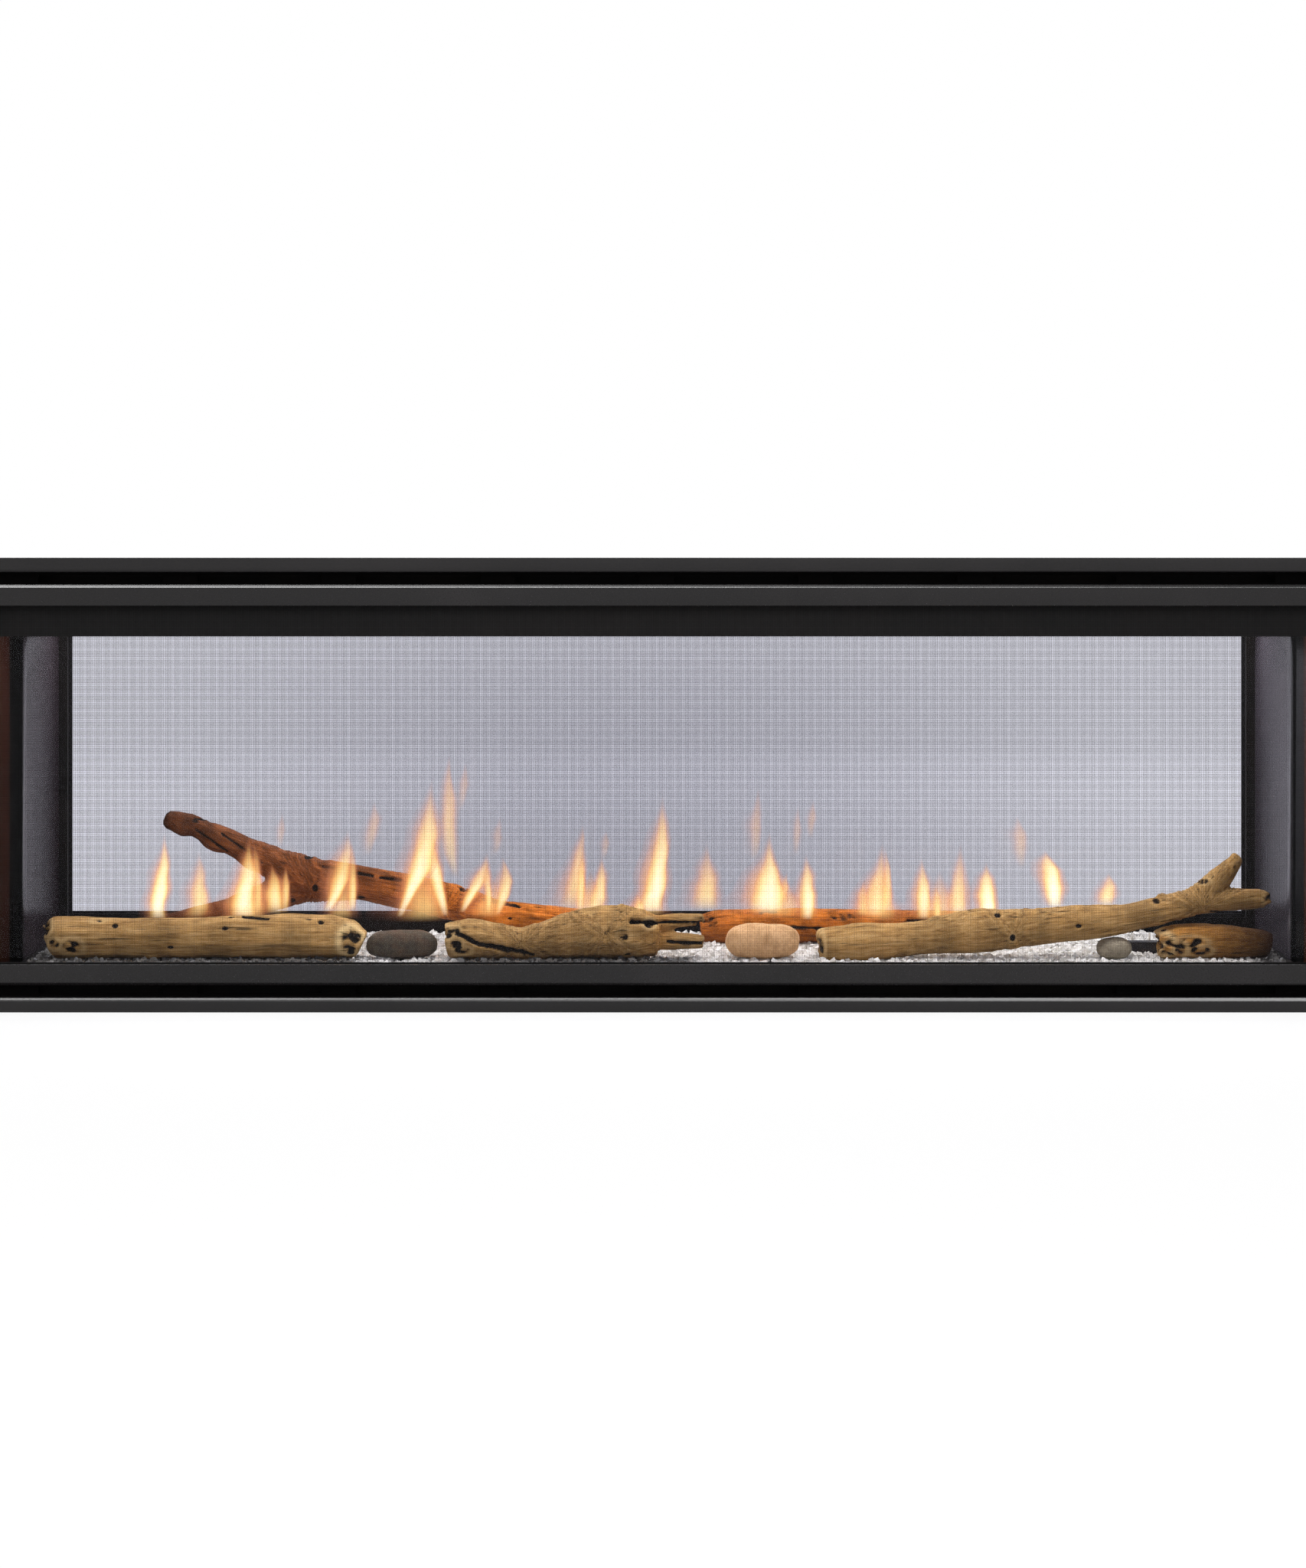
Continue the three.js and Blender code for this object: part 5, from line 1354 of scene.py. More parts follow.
@dataclass(frozen=True)
class DriftwoodLog:
    """One moulded log, carved from the construction's own log with grain, holes and splits."""

    node: str
    surface: MouldedDriftwood
    limbs: tuple[Limb, ...]
    hollows: tuple[Hollow, ...] = ()
    cracks: tuple[Crack, ...] = ()
    # The two curves along the log give how much painted firelight from the flames it shows, and how much
    # smoke, which is partly smoke staining and partly painted shade.
    warmth: tuple[tuple[float, float], ...] = ((0.0, 0.0), (1.0, 0.0))
    smoke: tuple[tuple[float, float], ...] = ((0.0, 0.0), (1.0, 0.0))
    knots: int = 7
    seed: int = 1
    voxel_mm: float = 1.5
    smoothing: tuple[float, int] = (0.5, 14)
    blend_mm: float = 4.0
    limb_apart: float = 0.4
    # Each form of relief has a height, and a size along and across the grain in metres.
    lump_mm: float = 1.1
    lump_grain: tuple[float, float] = (0.032, 0.017)
    groove_mm: float = 0.5
    groove_grain: tuple[float, float] = (0.05, 0.0042)
    chip_mm: float = 0.25
    chip_grain: tuple[float, float] = (0.007, 0.006)
    sink_mm: float = 0.3
    hole_mm: tuple[float, float] = (1.6, 3.2)
    hole_depth_mm: tuple[float, float] = (1.6, 2.6)
    dent_mm: tuple[float, float] = (4.0, 7.0)
    dent_depth_mm: tuple[float, float] = (-2.0, 2.2)
    hole_char: float = 0.9
    dent_char: float = 0.3
    hole_stretch: float = 1.5

    def remeshed(self) -> bpy.types.Mesh:
        """Makes a fine, smooth copy of the construction's log.

        Returns:
            The copy's mesh.
        """
        source = bmesh.new()
        source.from_mesh(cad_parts[self.node].data)
        bmesh.ops.remove_doubles(source, verts=source.verts, dist=WELD_MM * MM)
        rough = bpy.data.meshes.new(self.node + "_rough")
        source.to_mesh(rough)
        source.free()
        holder = bpy.data.objects.new(self.node + "_rough", rough)
        bpy.context.scene.collection.objects.link(holder)
        remesh = holder.modifiers.new("voxels", "REMESH")
        remesh.mode = "VOXEL"
        remesh.voxel_size = self.voxel_mm * MM
        smooth = holder.modifiers.new("smooth", "SMOOTH")
        smooth.factor, smooth.iterations = self.smoothing
        graph = bpy.context.evaluated_depsgraph_get()
        mesh = bpy.data.meshes.new_from_object(holder.evaluated_get(graph))
        bpy.data.objects.remove(holder)
        return mesh

    def grain_of(self, places: np.ndarray, low: np.ndarray, size: np.ndarray) -> np.ndarray:
        """Works out each point's place along and across the limb that it belongs to.

        Args:
            places: The points.
            low: The lowest corner of the log's box.
            size: The size of that box.

        Returns:
            For each point, its distance along the limb and its two offsets across it.
        """
        flat = places[:, [0, 2]]
        total = np.zeros((len(places), 3))
        weight_sum = np.zeros(len(places))
        for number, limb in enumerate(self.limbs):
            start = low[[0, 2]] + np.array(limb.start) * size[[0, 2]]
            run = low[[0, 2]] + np.array(limb.end) * size[[0, 2]] - start
            length = np.linalg.norm(run)
            ahead = run / length
            aside = np.array([-ahead[1], ahead[0]])
            share = np.clip((flat - start) @ ahead / length, 0, 1)
            distance = np.linalg.norm(flat - start - share[:, None] * run, axis=1)
            weight = 1 / (distance + self.blend_mm * MM) ** 4
            along = (flat - start) @ ahead + number * self.limb_apart
            local = np.stack([along, places[:, 1], (flat - start) @ aside], axis=1)
            total += local * weight[:, None]
            weight_sum += weight
        return total / weight_sum[:, None]

    def random_hollows(self, places: np.ndarray, low: np.ndarray, size: np.ndarray) -> list[Hollow]:
        """Picks places all round the log for small knots, dents and worm holes.

        Args:
            places: The log's points.
            low: The lowest corner of its box.
            size: The size of that box.

        Returns:
            Dents and holes by turns.
        """
        draw = random.Random(self.seed)
        picked = []
        for k in range(self.knots):
            place = (places[draw.randrange(len(places))] - low) / size
            radius = draw.uniform(*(self.hole_mm if k % 2 else self.dent_mm))
            depth = draw.uniform(*(self.hole_depth_mm if k % 2 else self.dent_depth_mm))
            char = self.hole_char if k % 2 else self.dent_char
            picked.append(Hollow(*place, (radius * self.hole_stretch, radius, radius), depth, char))
        return picked

    def rough_surface(self, grain: np.ndarray) -> tuple[np.ndarray, np.ndarray]:
        """Works out the lumps, the grooves along the grain and the small chips.

        Args:
            grain: Each point's place along and across its limb.

        Returns:
            How far each point moves outward, and how the chips lie, for what breaks an edge up.
        """
        shift = np.zeros(len(grain))
        chips = np.zeros(len(grain))
        for k, (s, a, b) in enumerate(grain):
            lump, groove, chip = (
                noise.noise(Vector((s / along, a / across, b / across + seed)))
                for (along, across), seed in (
                    (self.lump_grain, self.seed),
                    (self.groove_grain, self.seed),
                    (self.chip_grain, -self.seed),
                )
            )
            chips[k] = chip
            rise = self.lump_mm * lump + self.groove_mm * groove + self.chip_mm * chip
            shift[k] = (rise - self.sink_mm) * MM
        return shift, chips

    def carve(self, mesh: bpy.types.Mesh) -> None:
        """Moves the mesh's points into lumps, grooves, holes and splits, and stores their values.

        Args:
            mesh: The fine copy of the log, changed in place.
        """
        count = len(mesh.vertices)
        places = np.zeros(count * 3)
        mesh.vertices.foreach_get("co", places)
        places = places.reshape(-1, 3)
        normals = np.zeros(count * 3)
        mesh.vertex_normals.foreach_get("vector", normals)
        low, high = (np.array(corner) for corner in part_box(self.node))
        size = high - low
        grain = self.grain_of(places, low, size)
        shift, chips = self.rough_surface(grain)
        mould = Mould(
            places, normals.reshape(-1, 3), low, size, chips, shift, np.zeros(count), np.zeros(count),
        )
        for form in (*self.hollows, *self.random_hollows(places, low, size), *self.cracks):
            form.press(mould)
        places += mould.normals * mould.shift[:, None]
        places[:, 2] = np.maximum(places[:, 2], low[2])
        mesh.vertices.foreach_set("co", places.ravel())
        share = (places[:, 0] - low[0]) / size[0]
        values = {"char": mould.char, "bleach": mould.bleach}
        for key, curve in (("warmth", self.warmth), ("smoke", self.smoke)):
            stops = np.array(curve)
            values[key] = np.interp(share, stops[:, 0], stops[:, 1])
        mesh.attributes.new("grain", "FLOAT_VECTOR", "POINT").data.foreach_set("vector", grain.ravel())
        for key, column in values.items():
            mesh.attributes.new(key, "FLOAT", "POINT").data.foreach_set("value", column)
        mesh.update()

    def build(self) -> None:
        """Makes the carved log in place of the construction's plain one."""
        mesh = self.remeshed()
        self.carve(mesh)
        place_piece(
            mesh, self.node + "_carved", Body.HOUSING, self.surface,
            smooth_degrees=60.0, replaces=[self.node],
        )


@dataclass
class LogSet:
    """The six driftwood logs and the three stones."""

    logs: tuple[DriftwoodLog, ...] = (
        DriftwoodLog(
            "left_log", TAN_DRIFTWOOD, (Limb((0.0, 0.5), (1.0, 0.5)),),
            hollows=(
                Hollow(0.012, 0.3, 0.7, (9, 40, 9), 5.0, 1.0, 0.6, 0.5),
                Hollow(0.05, 0.12, 0.36, (7, 12, 6), 3.0, 1.0, 0.9, 0.5),
                Hollow(0.105, 0.1, 0.3, (11, 12, 9), 2.2, 1.0, 0.9, 0.4),
                Hollow(0.0, 0.6, 0.3, (7, 40, 12), 5.0, 1.0, 0.6, 0.6),
                Hollow(0.18, 0.18, 0.9, (9, 10, 3.6), 2.4, 1.0, 0.5, 0.3),
                Hollow(0.235, 0.15, 0.76, (4, 8, 3), 1.4, 0.8),
                Hollow(0.86, 0.2, 0.84, (4.2, 8, 3.2), 2.2, 1.0, 0.2),
                Hollow(0.82, 0.2, 0.9, (7, 8, 2), 1.0, 0.7, 0.5),
                Hollow(0.955, 0.1, 0.42, (12, 14, 15), 2.6, 0.95, 0.95, 0.9),
                Hollow(0.95, 0.1, 0.16, (6, 12, 5), 2.0, 1.0, 0.6, 0.5),
                Hollow(0.975, 0.1, 0.5, (5, 14, 6), 3.4, 1.0, 0.4),
            ),
            cracks=(Crack(((0.62, 0.93), (0.7, 0.9)), 1.3, 1.6),),
            knots=8, seed=3,
        ),
        DriftwoodLog(
            "middle_log", TAN_DRIFTWOOD,
            (Limb((0.0, 0.42), (0.3, 0.3)), Limb((0.3, 0.3), (0.62, 0.5)), Limb((0.62, 0.5), (1.0, 0.6))),
            hollows=(
                Hollow(0.01, 0.2, 0.5, (8, 30, 7), 4.0, 1.0, 0.9, 0.5),
                Hollow(0.045, 0.08, 0.56, (6, 12, 5), 4.0, 1.0, 0.7, 0.4),
                Hollow(0.05, 0.08, 0.3, (7, 12, 5), 3.4, 1.0, 0.8, 0.4),
                Hollow(0.075, 0.08, 0.18, (9, 12, 5), 3.4, 1.0, 0.9, 0.4),
                Hollow(0.79, 0.12, 0.68, (6, 12, 5), 3.0, 1.0, 0.4, 0.5),
                Hollow(0.69, 0.1, 0.46, (7, 12, 7), 1.4, 0.85, 0.6, 0.2),
                Hollow(0.63, 0.1, 0.52, (5, 12, 4), 1.0, 0.7, 0.6),
                Hollow(0.985, 0.5, 0.62, (5, 30, 5), 3.0, 1.0, 0.3),
                Hollow(0.93, 0.1, 0.3, (16, 16, 5), 1.2, 0.9, 0.6),
            ),
            cracks=(
                Crack(((0.055, 0.52), (0.14, 0.31), (0.24, 0.2), (0.34, 0.08)), 3.0, 5.0),
                Crack(((0.72, 0.72), (0.79, 0.72), (0.86, 0.68), (1.0, 0.62)), 2.4, 6.0),
                Crack(((0.86, 0.33), (1.0, 0.3)), 2.0, 3.0),
            ),
            warmth=((0.0, 0.0), (0.74, 0.0), (0.83, 0.45), (0.9, 0.0), (1.0, 0.0)),
            smoke=((0.0, 0.1), (0.3, 0.12), (0.6, 0.05), (0.85, 0.0), (1.0, 0.25)),
            knots=11, seed=8,
        ),
        DriftwoodLog(
            "forked_log", TAN_DRIFTWOOD,
            (
                Limb((0.0, 0.14), (0.42, 0.26)), Limb((0.42, 0.26), (0.84, 0.5)),
                Limb((0.84, 0.5), (1.0, 0.58)), Limb((0.84, 0.5), (0.92, 1.0)),
            ),
            hollows=(
                Hollow(0.02, 0.4, 0.2, (60, 90, 45), -3.0, 0.0),
                Hollow(0.22, 0.4, 0.24, (110, 90, 60), -4.2, 0.0),
                Hollow(0.48, 0.4, 0.34, (110, 90, 60), -3.6, 0.0),
                Hollow(0.75, 0.4, 0.64, (8, 30, 5), -2.8, 0.5, 0.3),
                Hollow(0.74, 0.4, 0.57, (5, 30, 3), 1.4, 0.8, 0.3),
                Hollow(0.42, 0.1, 0.24, (3.4, 12, 3.2), 2.2, 1.0, 0.0, 0.3),
                Hollow(0.84, 0.3, 0.76, (9, 30, 3.6), 1.4, 0.85, 0.6, 0.3),
                Hollow(0.89, 0.3, 0.88, (8, 30, 3), 1.0, 0.8, 0.6),
                Hollow(0.995, 0.5, 0.56, (8, 80, 12), 2.6, 0.95, 0.5, 0.3),
                Hollow(0.945, 0.5, 0.87, (4.5, 80, 7), 2.4, 0.95, 0.4, 0.4),
                Hollow(0.925, 0.5, 0.98, (9, 80, 7), -2.8, 0.0),
                Hollow(0.96, 0.5, 0.8, (6, 80, 7), 3.0, 0.9, 0.2),
                Hollow(0.0, 0.4, 0.12, (4, 80, 14), 1.4, 0.75, 0.8, 0.4),
                # The next two shallow charred hollows are painted shadow: the shade along the log's lower
                # edge and in the gap over the stub.
                Hollow(0.6, 0.3, 0.16, (40, 60, 5), 0.6, 0.7, 0.9),
                Hollow(0.9, 0.3, 0.42, (24, 60, 4), 0.8, 0.8, 0.6),
            ),
            cracks=(Crack(((0.86, 0.46), (0.93, 0.44), (1.0, 0.46)), 1.6, 1.8),),
            smoke=((0.0, 0.0), (0.6, 0.05), (0.85, 0.15), (1.0, 0.3)),
            knots=14, seed=5,
        ),
        # The stub's darker tones and its heavy smoke towards the right end are painted shade under the
        # forked log's arm.
        DriftwoodLog(
            "stub_log", SHADED_STUB_DRIFTWOOD, (Limb((0.0, 0.4), (1.0, 0.6)),),
            hollows=(
                Hollow(0.05, 0.05, 0.4, (14, 40, 13), 6.0, 1.0, 0.95, 0.7),
                Hollow(0.17, 0.0, 0.28, (13, 24, 9), 4.0, 1.0, 0.95, 0.6),
                Hollow(0.3, 0.0, 0.5, (16, 24, 6), 3.0, 1.0, 0.9, 0.4),
                Hollow(0.38, 0.0, 0.24, (12, 24, 6), 2.6, 1.0, 0.95, 0.5),
                Hollow(0.0, 0.6, 0.5, (9, 40, 12), 6.0, 1.0, 0.6),
            ),
            warmth=((0.0, 0.5), (0.4, 0.4), (1.0, 0.0)),
            smoke=((0.0, 0.0), (0.4, 0.1), (0.7, 0.55), (0.9, 0.9), (1.0, 0.95)),
            knots=6, seed=2,
        ),
        DriftwoodLog(
            "back_log", RED_DRIFTWOOD, (Limb((0.0, 0.5), (1.0, 0.5)),),
            hollows=(
                Hollow(0.04, 0.1, 0.7, (12, 20, 9), 2.5, 0.8, 0.8),
                Hollow(0.24, 0.1, 0.9, (16, 20, 5), 1.0, 0.8, 0.9),
                Hollow(0.5, 0.1, 0.82, (18, 20, 5), 2.0, 0.9, 0.7),
                Hollow(0.62, 0.1, 0.4, (14, 20, 4), 1.0, 0.8, 0.9),
                Hollow(0.75, 0.1, 0.6, (20, 20, 7), 2.0, 0.9, 0.8),
                Hollow(0.95, 0.2, 0.6, (16, 20, 9), 3.0, 1.0, 0.6),
            ),
            cracks=(
                Crack(((0.3, 0.5), (0.5, 0.44), (0.68, 0.5)), 1.8, 2.4),
                Crack(((0.72, 0.72), (0.8, 0.66), (0.86, 0.7)), 1.8, 2.4),
            ),
            warmth=((0.0, 0.6), (0.3, 0.85), (0.6, 0.7), (1.0, 0.5)),
            smoke=((0.0, 0.1), (0.35, 0.0), (0.7, 0.2), (1.0, 0.45)),
            knots=9, seed=7,
        ),
        DriftwoodLog(
            "diagonal_log", RED_DRIFTWOOD,
            (
                Limb((0.06, 0.95), (0.36, 0.45)), Limb((0.36, 0.45), (0.62, 0.28)),
                Limb((0.62, 0.28), (1.0, 0.1)), Limb((0.36, 0.4), (0.0, 0.06)),
            ),
            hollows=(
                Hollow(0.075, 0.5, 0.93, (13, 80, 9), -2.4, 0.0),
                Hollow(0.085, 0.5, 0.84, (26, 80, 12), -5.0, 0.0),
                Hollow(0.15, 0.5, 0.7, (24, 80, 12), -3.6, 0.0),
                Hollow(0.22, 0.5, 0.58, (22, 80, 10), -2.6, 0.0),
                Hollow(0.07, 0.4, 1.0, (12, 80, 9), 0.8, 0.9, 0.5),
                Hollow(0.16, 0.4, 0.93, (26, 80, 4), 0.8, 0.8, 0.7),
                Hollow(0.375, 0.15, 0.44, (4, 20, 5), 2.4),
                Hollow(0.33, 0.15, 0.34, (4, 20, 3.4), 1.8, 0.9, 0.3),
                Hollow(0.46, 0.12, 0.36, (7, 20, 3.4), 2.4, 1.0, 0.3),
                Hollow(0.665, 0.3, 0.5, (12, 60, 6), -3.2, 0.5, 0.6),
                Hollow(0.665, 0.15, 0.44, (8, 60, 5), 2.4, 1.0, 0.7),
                Hollow(0.36, 0.5, 0.66, (5, 60, 2.4), 1.6),
                Hollow(0.31, 0.5, 0.55, (12, 60, 2.4), 0.8, 0.8, 0.6),
            ),
            cracks=(
                Crack(((0.39, 0.6), (0.43, 0.575)), 1.9, 2.4),
                Crack(((0.44, 0.56), (0.485, 0.53)), 1.9, 2.4),
                Crack(((0.5, 0.52), (0.54, 0.5)), 1.7, 2.2),
                Crack(((0.14, 0.86), (0.2, 0.7)), 1.5, 1.6),
                Crack(((0.19, 0.84), (0.27, 0.62)), 1.4, 1.6),
                Crack(((0.7, 0.36), (0.77, 0.3)), 1.7, 2.2),
            ),
            warmth=((0.0, 0.0), (0.45, 0.05), (0.6, 0.55), (0.75, 0.9), (1.0, 0.7)),
            smoke=((0.0, 0.55), (0.1, 0.62), (0.2, 0.3), (0.4, 0.12), (0.6, 0.0), (1.0, 0.0)),
            knots=14, seed=4,
        ),
    )
    stones: tuple[tuple[str, SurfaceFinish], ...] = (
        ("round_stone", TAN_STONE), ("dark_pebble", DARK_STONE), ("small_pebble", GREY_STONE),
    )
    stone_squareness: float = 0.74
    stone_fill: float = 0.97
    stone_lump_mm: float = 1.6
    stone_lumps_per_m: float = 60.0
    stone_pit_mm: float = 0.35
    stone_pits_per_m: float = 240.0
    stone_wear_mm: float = 0.4

    def stone(self, node: str, surface: SurfaceFinish) -> None:
        """Makes a worn, uneven stone in place of the construction's plain one.

        Args:
            node: The construction's stone.
            surface: What it is made of.
        """
        low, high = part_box(node)
        centre = (low + high) / 2
        half = (high - low) / 2
        source = bmesh.new()
        bmesh.ops.create_icosphere(source, subdivisions=5, radius=1.0)
        for vertex in source.verts:
            unit = vertex.co.normalized()
            square = Vector(math.copysign(abs(v) ** self.stone_squareness, v) for v in unit)
            place = centre + Vector(a * b for a, b in zip(square, half)) * self.stone_fill
            lump = noise.noise(place * self.stone_lumps_per_m) * self.stone_lump_mm
            lump += noise.noise(place * self.stone_pits_per_m) * self.stone_pit_mm
            place += unit * (lump - self.stone_wear_mm) * MM
            place = Vector(min(max(place[k], low[k]), high[k]) for k in range(3))
            vertex.co = place
        mesh = bpy.data.meshes.new(node)
        source.to_mesh(mesh)
        source.free()
        place_piece(mesh, node + "_worn", Body.HOUSING, surface, smooth_degrees=60.0, replaces=[node])

    def build(self) -> None:
        """Carves every log and wears every stone."""
        for wood in self.logs:
            wood.build()
        for node, surface in self.stones:
            self.stone(node, surface)


class TongueKind(Enum):
    """Whether a flame stands on the bed or floats above it."""

    ROOTED = "rooted"
    WISP = "wisp"


@dataclass(frozen=True)
class Tongue:
    """One tongue of flame: its spine from foot to tip as X, Z and half width in millimetres."""

    spine: tuple[tuple[float, float, float], ...]
    glow: float = 1.0
    kind: TongueKind = TongueKind.ROOTED


@dataclass(frozen=True)
class Skin:
    """One of the skins that a tongue is built of, from the veil outside to the heart inside.

    Girth and reach are shares of the tongue's own, and aside is how far it stands off in shares of its half
    width. Veil is how much it hides and heat is how bright it is.
    """

    girth: float
    reach: float
    aside: float
    veil: float
    heat: float


@dataclass
class Flames:
    """The row of flames over the burner, each a soft veil round a brighter heart."""

    tongues: tuple[Tongue, ...] = (
        Tongue(((-483, 59, 9.4), (-480, 82, 8.6), (-478, 104, 7.1),
                (-475, 126, 3.9), (-474, 144, 1.6)), 0.95),
        Tongue(((-448, 60, 12.5), (-445, 78, 9.4), (-443, 96, 7.1),
                (-442, 111, 4.7), (-443, 126, 1.6)), 0.55),
        Tongue(((-404, 60, 14.1), (-401, 78, 11.8), (-396, 100, 9.4),
                (-395, 120, 6.3), (-394, 139, 1.6)), 1.0),
        Tongue(((-387, 63, 4.7), (-386, 89, 4.7), (-387, 118, 3.9), (-390, 135, 1.6)), 0.5),
        Tongue(((-370, 65, 9.4), (-370, 85, 8.6), (-370, 100, 5.5), (-371, 114, 1.6)), 0.75),
        Tongue(((-361, 65, 4.7), (-360, 85, 4.7), (-359, 100, 3.1), (-359, 111, 1.6)), 0.6),
        Tongue(((-365, 132, 2.4), (-364, 144, 3.9), (-362, 157, 1.6)), 0.2, TongueKind.WISP),
        Tongue(((-319, 66, 4.7), (-311, 85, 7.1), (-304, 104, 9.4),
                (-299, 126, 7.8), (-298, 147, 2.4)), 0.85),
        Tongue(((-295, 67, 3.9), (-294, 89, 4.7), (-294, 111, 3.9), (-295, 137, 1.6)), 0.7),
        Tongue(((-279, 127, 2.4), (-276, 142, 6.3), (-273, 155, 5.5),
                (-272, 167, 1.6)), 0.3, TongueKind.WISP),
        Tongue(((-248, 62, 3.9), (-239, 85, 7.1), (-229, 111, 11.8),
                (-223, 141, 11.8), (-219, 170, 7.8), (-216, 198, 1.6)), 1.0),
        Tongue(((-205, 62, 3.9), (-211, 85, 6.3), (-217, 111, 8.6),
                (-220, 137, 7.1), (-220, 155, 2.4)), 0.9),
        Tongue(((-194, 113, 2.4), (-200, 130, 6.3), (-203, 155, 7.1),
                (-202, 181, 6.3), (-200, 203, 1.6)), 0.55, TongueKind.WISP),
        Tongue(((-190, 170, 2.4), (-186, 189, 4.7), (-184, 205, 1.6)), 0.22, TongueKind.WISP),
        Tongue(((-189, 65, 3.1), (-180, 82, 6.3), (-172, 96, 7.8),
                (-166, 111, 5.5), (-164, 124, 1.6)), 0.85),
        Tongue(((-163, 65, 3.1), (-163, 85, 3.9), (-164, 104, 3.9), (-165, 118, 1.6)), 0.6),
        Tongue(((-157, 126, 2.4), (-154, 139, 4.7), (-151, 154, 1.6)), 0.2, TongueKind.WISP),
        Tongue(((-154, 64, 3.1), (-149, 82, 6.3), (-146, 96, 7.1),
                (-147, 111, 3.9), (-149, 121, 1.6)), 0.7),
        Tongue(((-86, 67, 16.5), (-81, 89, 11.0), (-76, 115, 6.3), (-72, 137, 3.1), (-72, 152, 1.6)), 0.55),
        Tongue(((-75, 67, 3.9), (-74, 85, 3.9), (-73, 107, 3.1), (-72, 126, 1.6)), 0.8),
        Tongue(((-60, 67, 9.4), (-57, 85, 7.1), (-54, 104, 4.7), (-53, 121, 1.6)), 0.75),
        Tongue(((-52, 120, 2.4), (-50, 132, 3.9), (-49, 141, 1.6)), 0.2, TongueKind.WISP),
        Tongue(((-9, 67, 14.9), (-2, 89, 10.2), (1, 118, 9.4), (4, 152, 7.1), (6, 181, 1.6)), 1.0),
        Tongue(((-18, 67, 6.3), (-18, 74, 4.7), (-19, 85, 1.6)), 0.7),
        Tongue(((44, 67, 14.9), (46, 89, 11.8), (48, 111, 7.1), (48, 135, 1.6)), 0.55),
        Tongue(((102, 65, 20.4), (105, 89, 15.7), (107, 115, 7.8), (109, 146, 1.6)), 1.0),
        Tongue(((120, 74, 5.5), (123, 89, 3.9), (126, 105, 1.6)), 0.6),
        Tongue(((93, 124, 3.1), (95, 148, 6.3), (98, 178, 1.6)), 0.28, TongueKind.WISP),
        Tongue(((144, 59, 7.1), (144, 82, 8.6), (144, 104, 5.5), (144, 124, 1.6)), 0.9),
        Tongue(((134, 126, 2.4), (135, 144, 3.9), (137, 163, 1.6)), 0.22, TongueKind.WISP),
        Tongue(((148, 142, 2.4), (149, 157, 3.9), (151, 170, 1.6)), 0.25, TongueKind.WISP),
        Tongue(((207, 61, 14.1), (211, 82, 11.8), (215, 104, 7.1), (219, 135, 1.6)), 0.8),
        Tongue(((222, 67, 4.7), (222, 89, 4.7), (222, 111, 3.1), (220, 130, 1.6)), 0.6),
        Tongue(((197, 62, 7.1), (198, 82, 5.5), (200, 98, 1.6)), 0.5),
        Tongue(((256, 59, 7.1), (256, 82, 7.1), (256, 100, 5.5), (255, 121, 1.6)), 0.85),
        Tongue(((270, 59, 3.9), (270, 78, 3.9), (269, 93, 1.6)), 0.6),
        Tongue(((287, 59, 11.8), (288, 82, 9.4), (291, 107, 5.5), (293, 135, 1.6)), 0.6),
        Tongue(((316, 62, 9.4), (316, 82, 9.4), (317, 100, 6.3), (317, 116, 1.6)), 1.0),
        Tongue(((353, 113, 2.4), (351, 130, 6.3), (350, 141, 6.3), (348, 152, 1.6)), 0.3, TongueKind.WISP),
        Tongue(((383, 70, 7.8), (381, 89, 9.4), (378, 107, 9.4), (375, 118, 6.3), (374, 127, 1.6)), 1.0),
        Tongue(((433, 71, 9.4), (435, 85, 7.8), (437, 96, 4.7), (437, 104, 1.6)), 0.6),
        Tongue(((-233, 58, 24.0), (-230, 76, 19.0), (-226, 96, 11.0), (-222, 126, 3.0)), 0.45),
        Tongue(((-310, 58, 15.0), (-306, 76, 12.0), (-302, 96, 7.0), (-299, 118, 2.0)), 0.4),
        Tongue(((-396, 58, 20.0), (-392, 76, 15.0), (-389, 96, 8.0), (-388, 118, 2.0)), 0.4),
        Tongue(((-168, 60, 17.0), (-164, 74, 13.0), (-161, 88, 8.0), (-160, 106, 2.0)), 0.4),
        Tongue(((-70, 62, 20.0), (-67, 76, 14.0), (-65, 92, 8.0), (-64, 110, 2.0)), 0.4),
        Tongue(((-12, 62, 18.0), (-8, 76, 13.0), (-5, 96, 8.0), (-2, 120, 2.0)), 0.4),
        Tongue(((112, 60, 26.0), (114, 78, 19.0), (115, 96, 10.0), (115, 116, 2.0)), 0.4),
        Tongue(((210, 58, 20.0), (213, 76, 14.0), (216, 94, 8.0), (218, 112, 2.0)), 0.4),
        Tongue(((268, 58, 22.0), (270, 74, 16.0), (272, 90, 9.0), (273, 108, 2.0)), 0.4),
    )
    skins: tuple[Skin, ...] = (
        Skin(1.8, 1.0, -0.14, 0.15, 0.14),
        Skin(1.35, 0.97, -0.02, 0.28, 0.42),
        Skin(0.95, 0.9, 0.1, 0.46, 0.95),
    )
    depth_share: float = 0.45
    wisp_stretch: float = 0.4
    wisp_strength: float = 0.6
    # Shares of a tongue's length over which it closes, rises to full strength and fades.
    closing: float = 0.35
    closing_power: float = 0.6
    rise: float = 0.24
    fall: float = 0.62
    # Waves along and round a tongue, and how strong each is in shares of its half width.
    curl: tuple[float, float] = (2.2, 0.3)
    fray: tuple[float, float, float] = (4.5, 0.8, 0.25)
    # A skin shows most where it faces the rooms and thins towards its edges, and it cools towards the tip.
    edge_power: float = 1.2
    edge_lean: float = 0.25
    least_mm: float = 0.3
    most_veil: float = 0.95
    cooling: float = 0.6
    dim_heat: float = 0.3
    across_mm: float = 9.0
    steps: int = 26
    sides: int = 20
    seed: int = 21

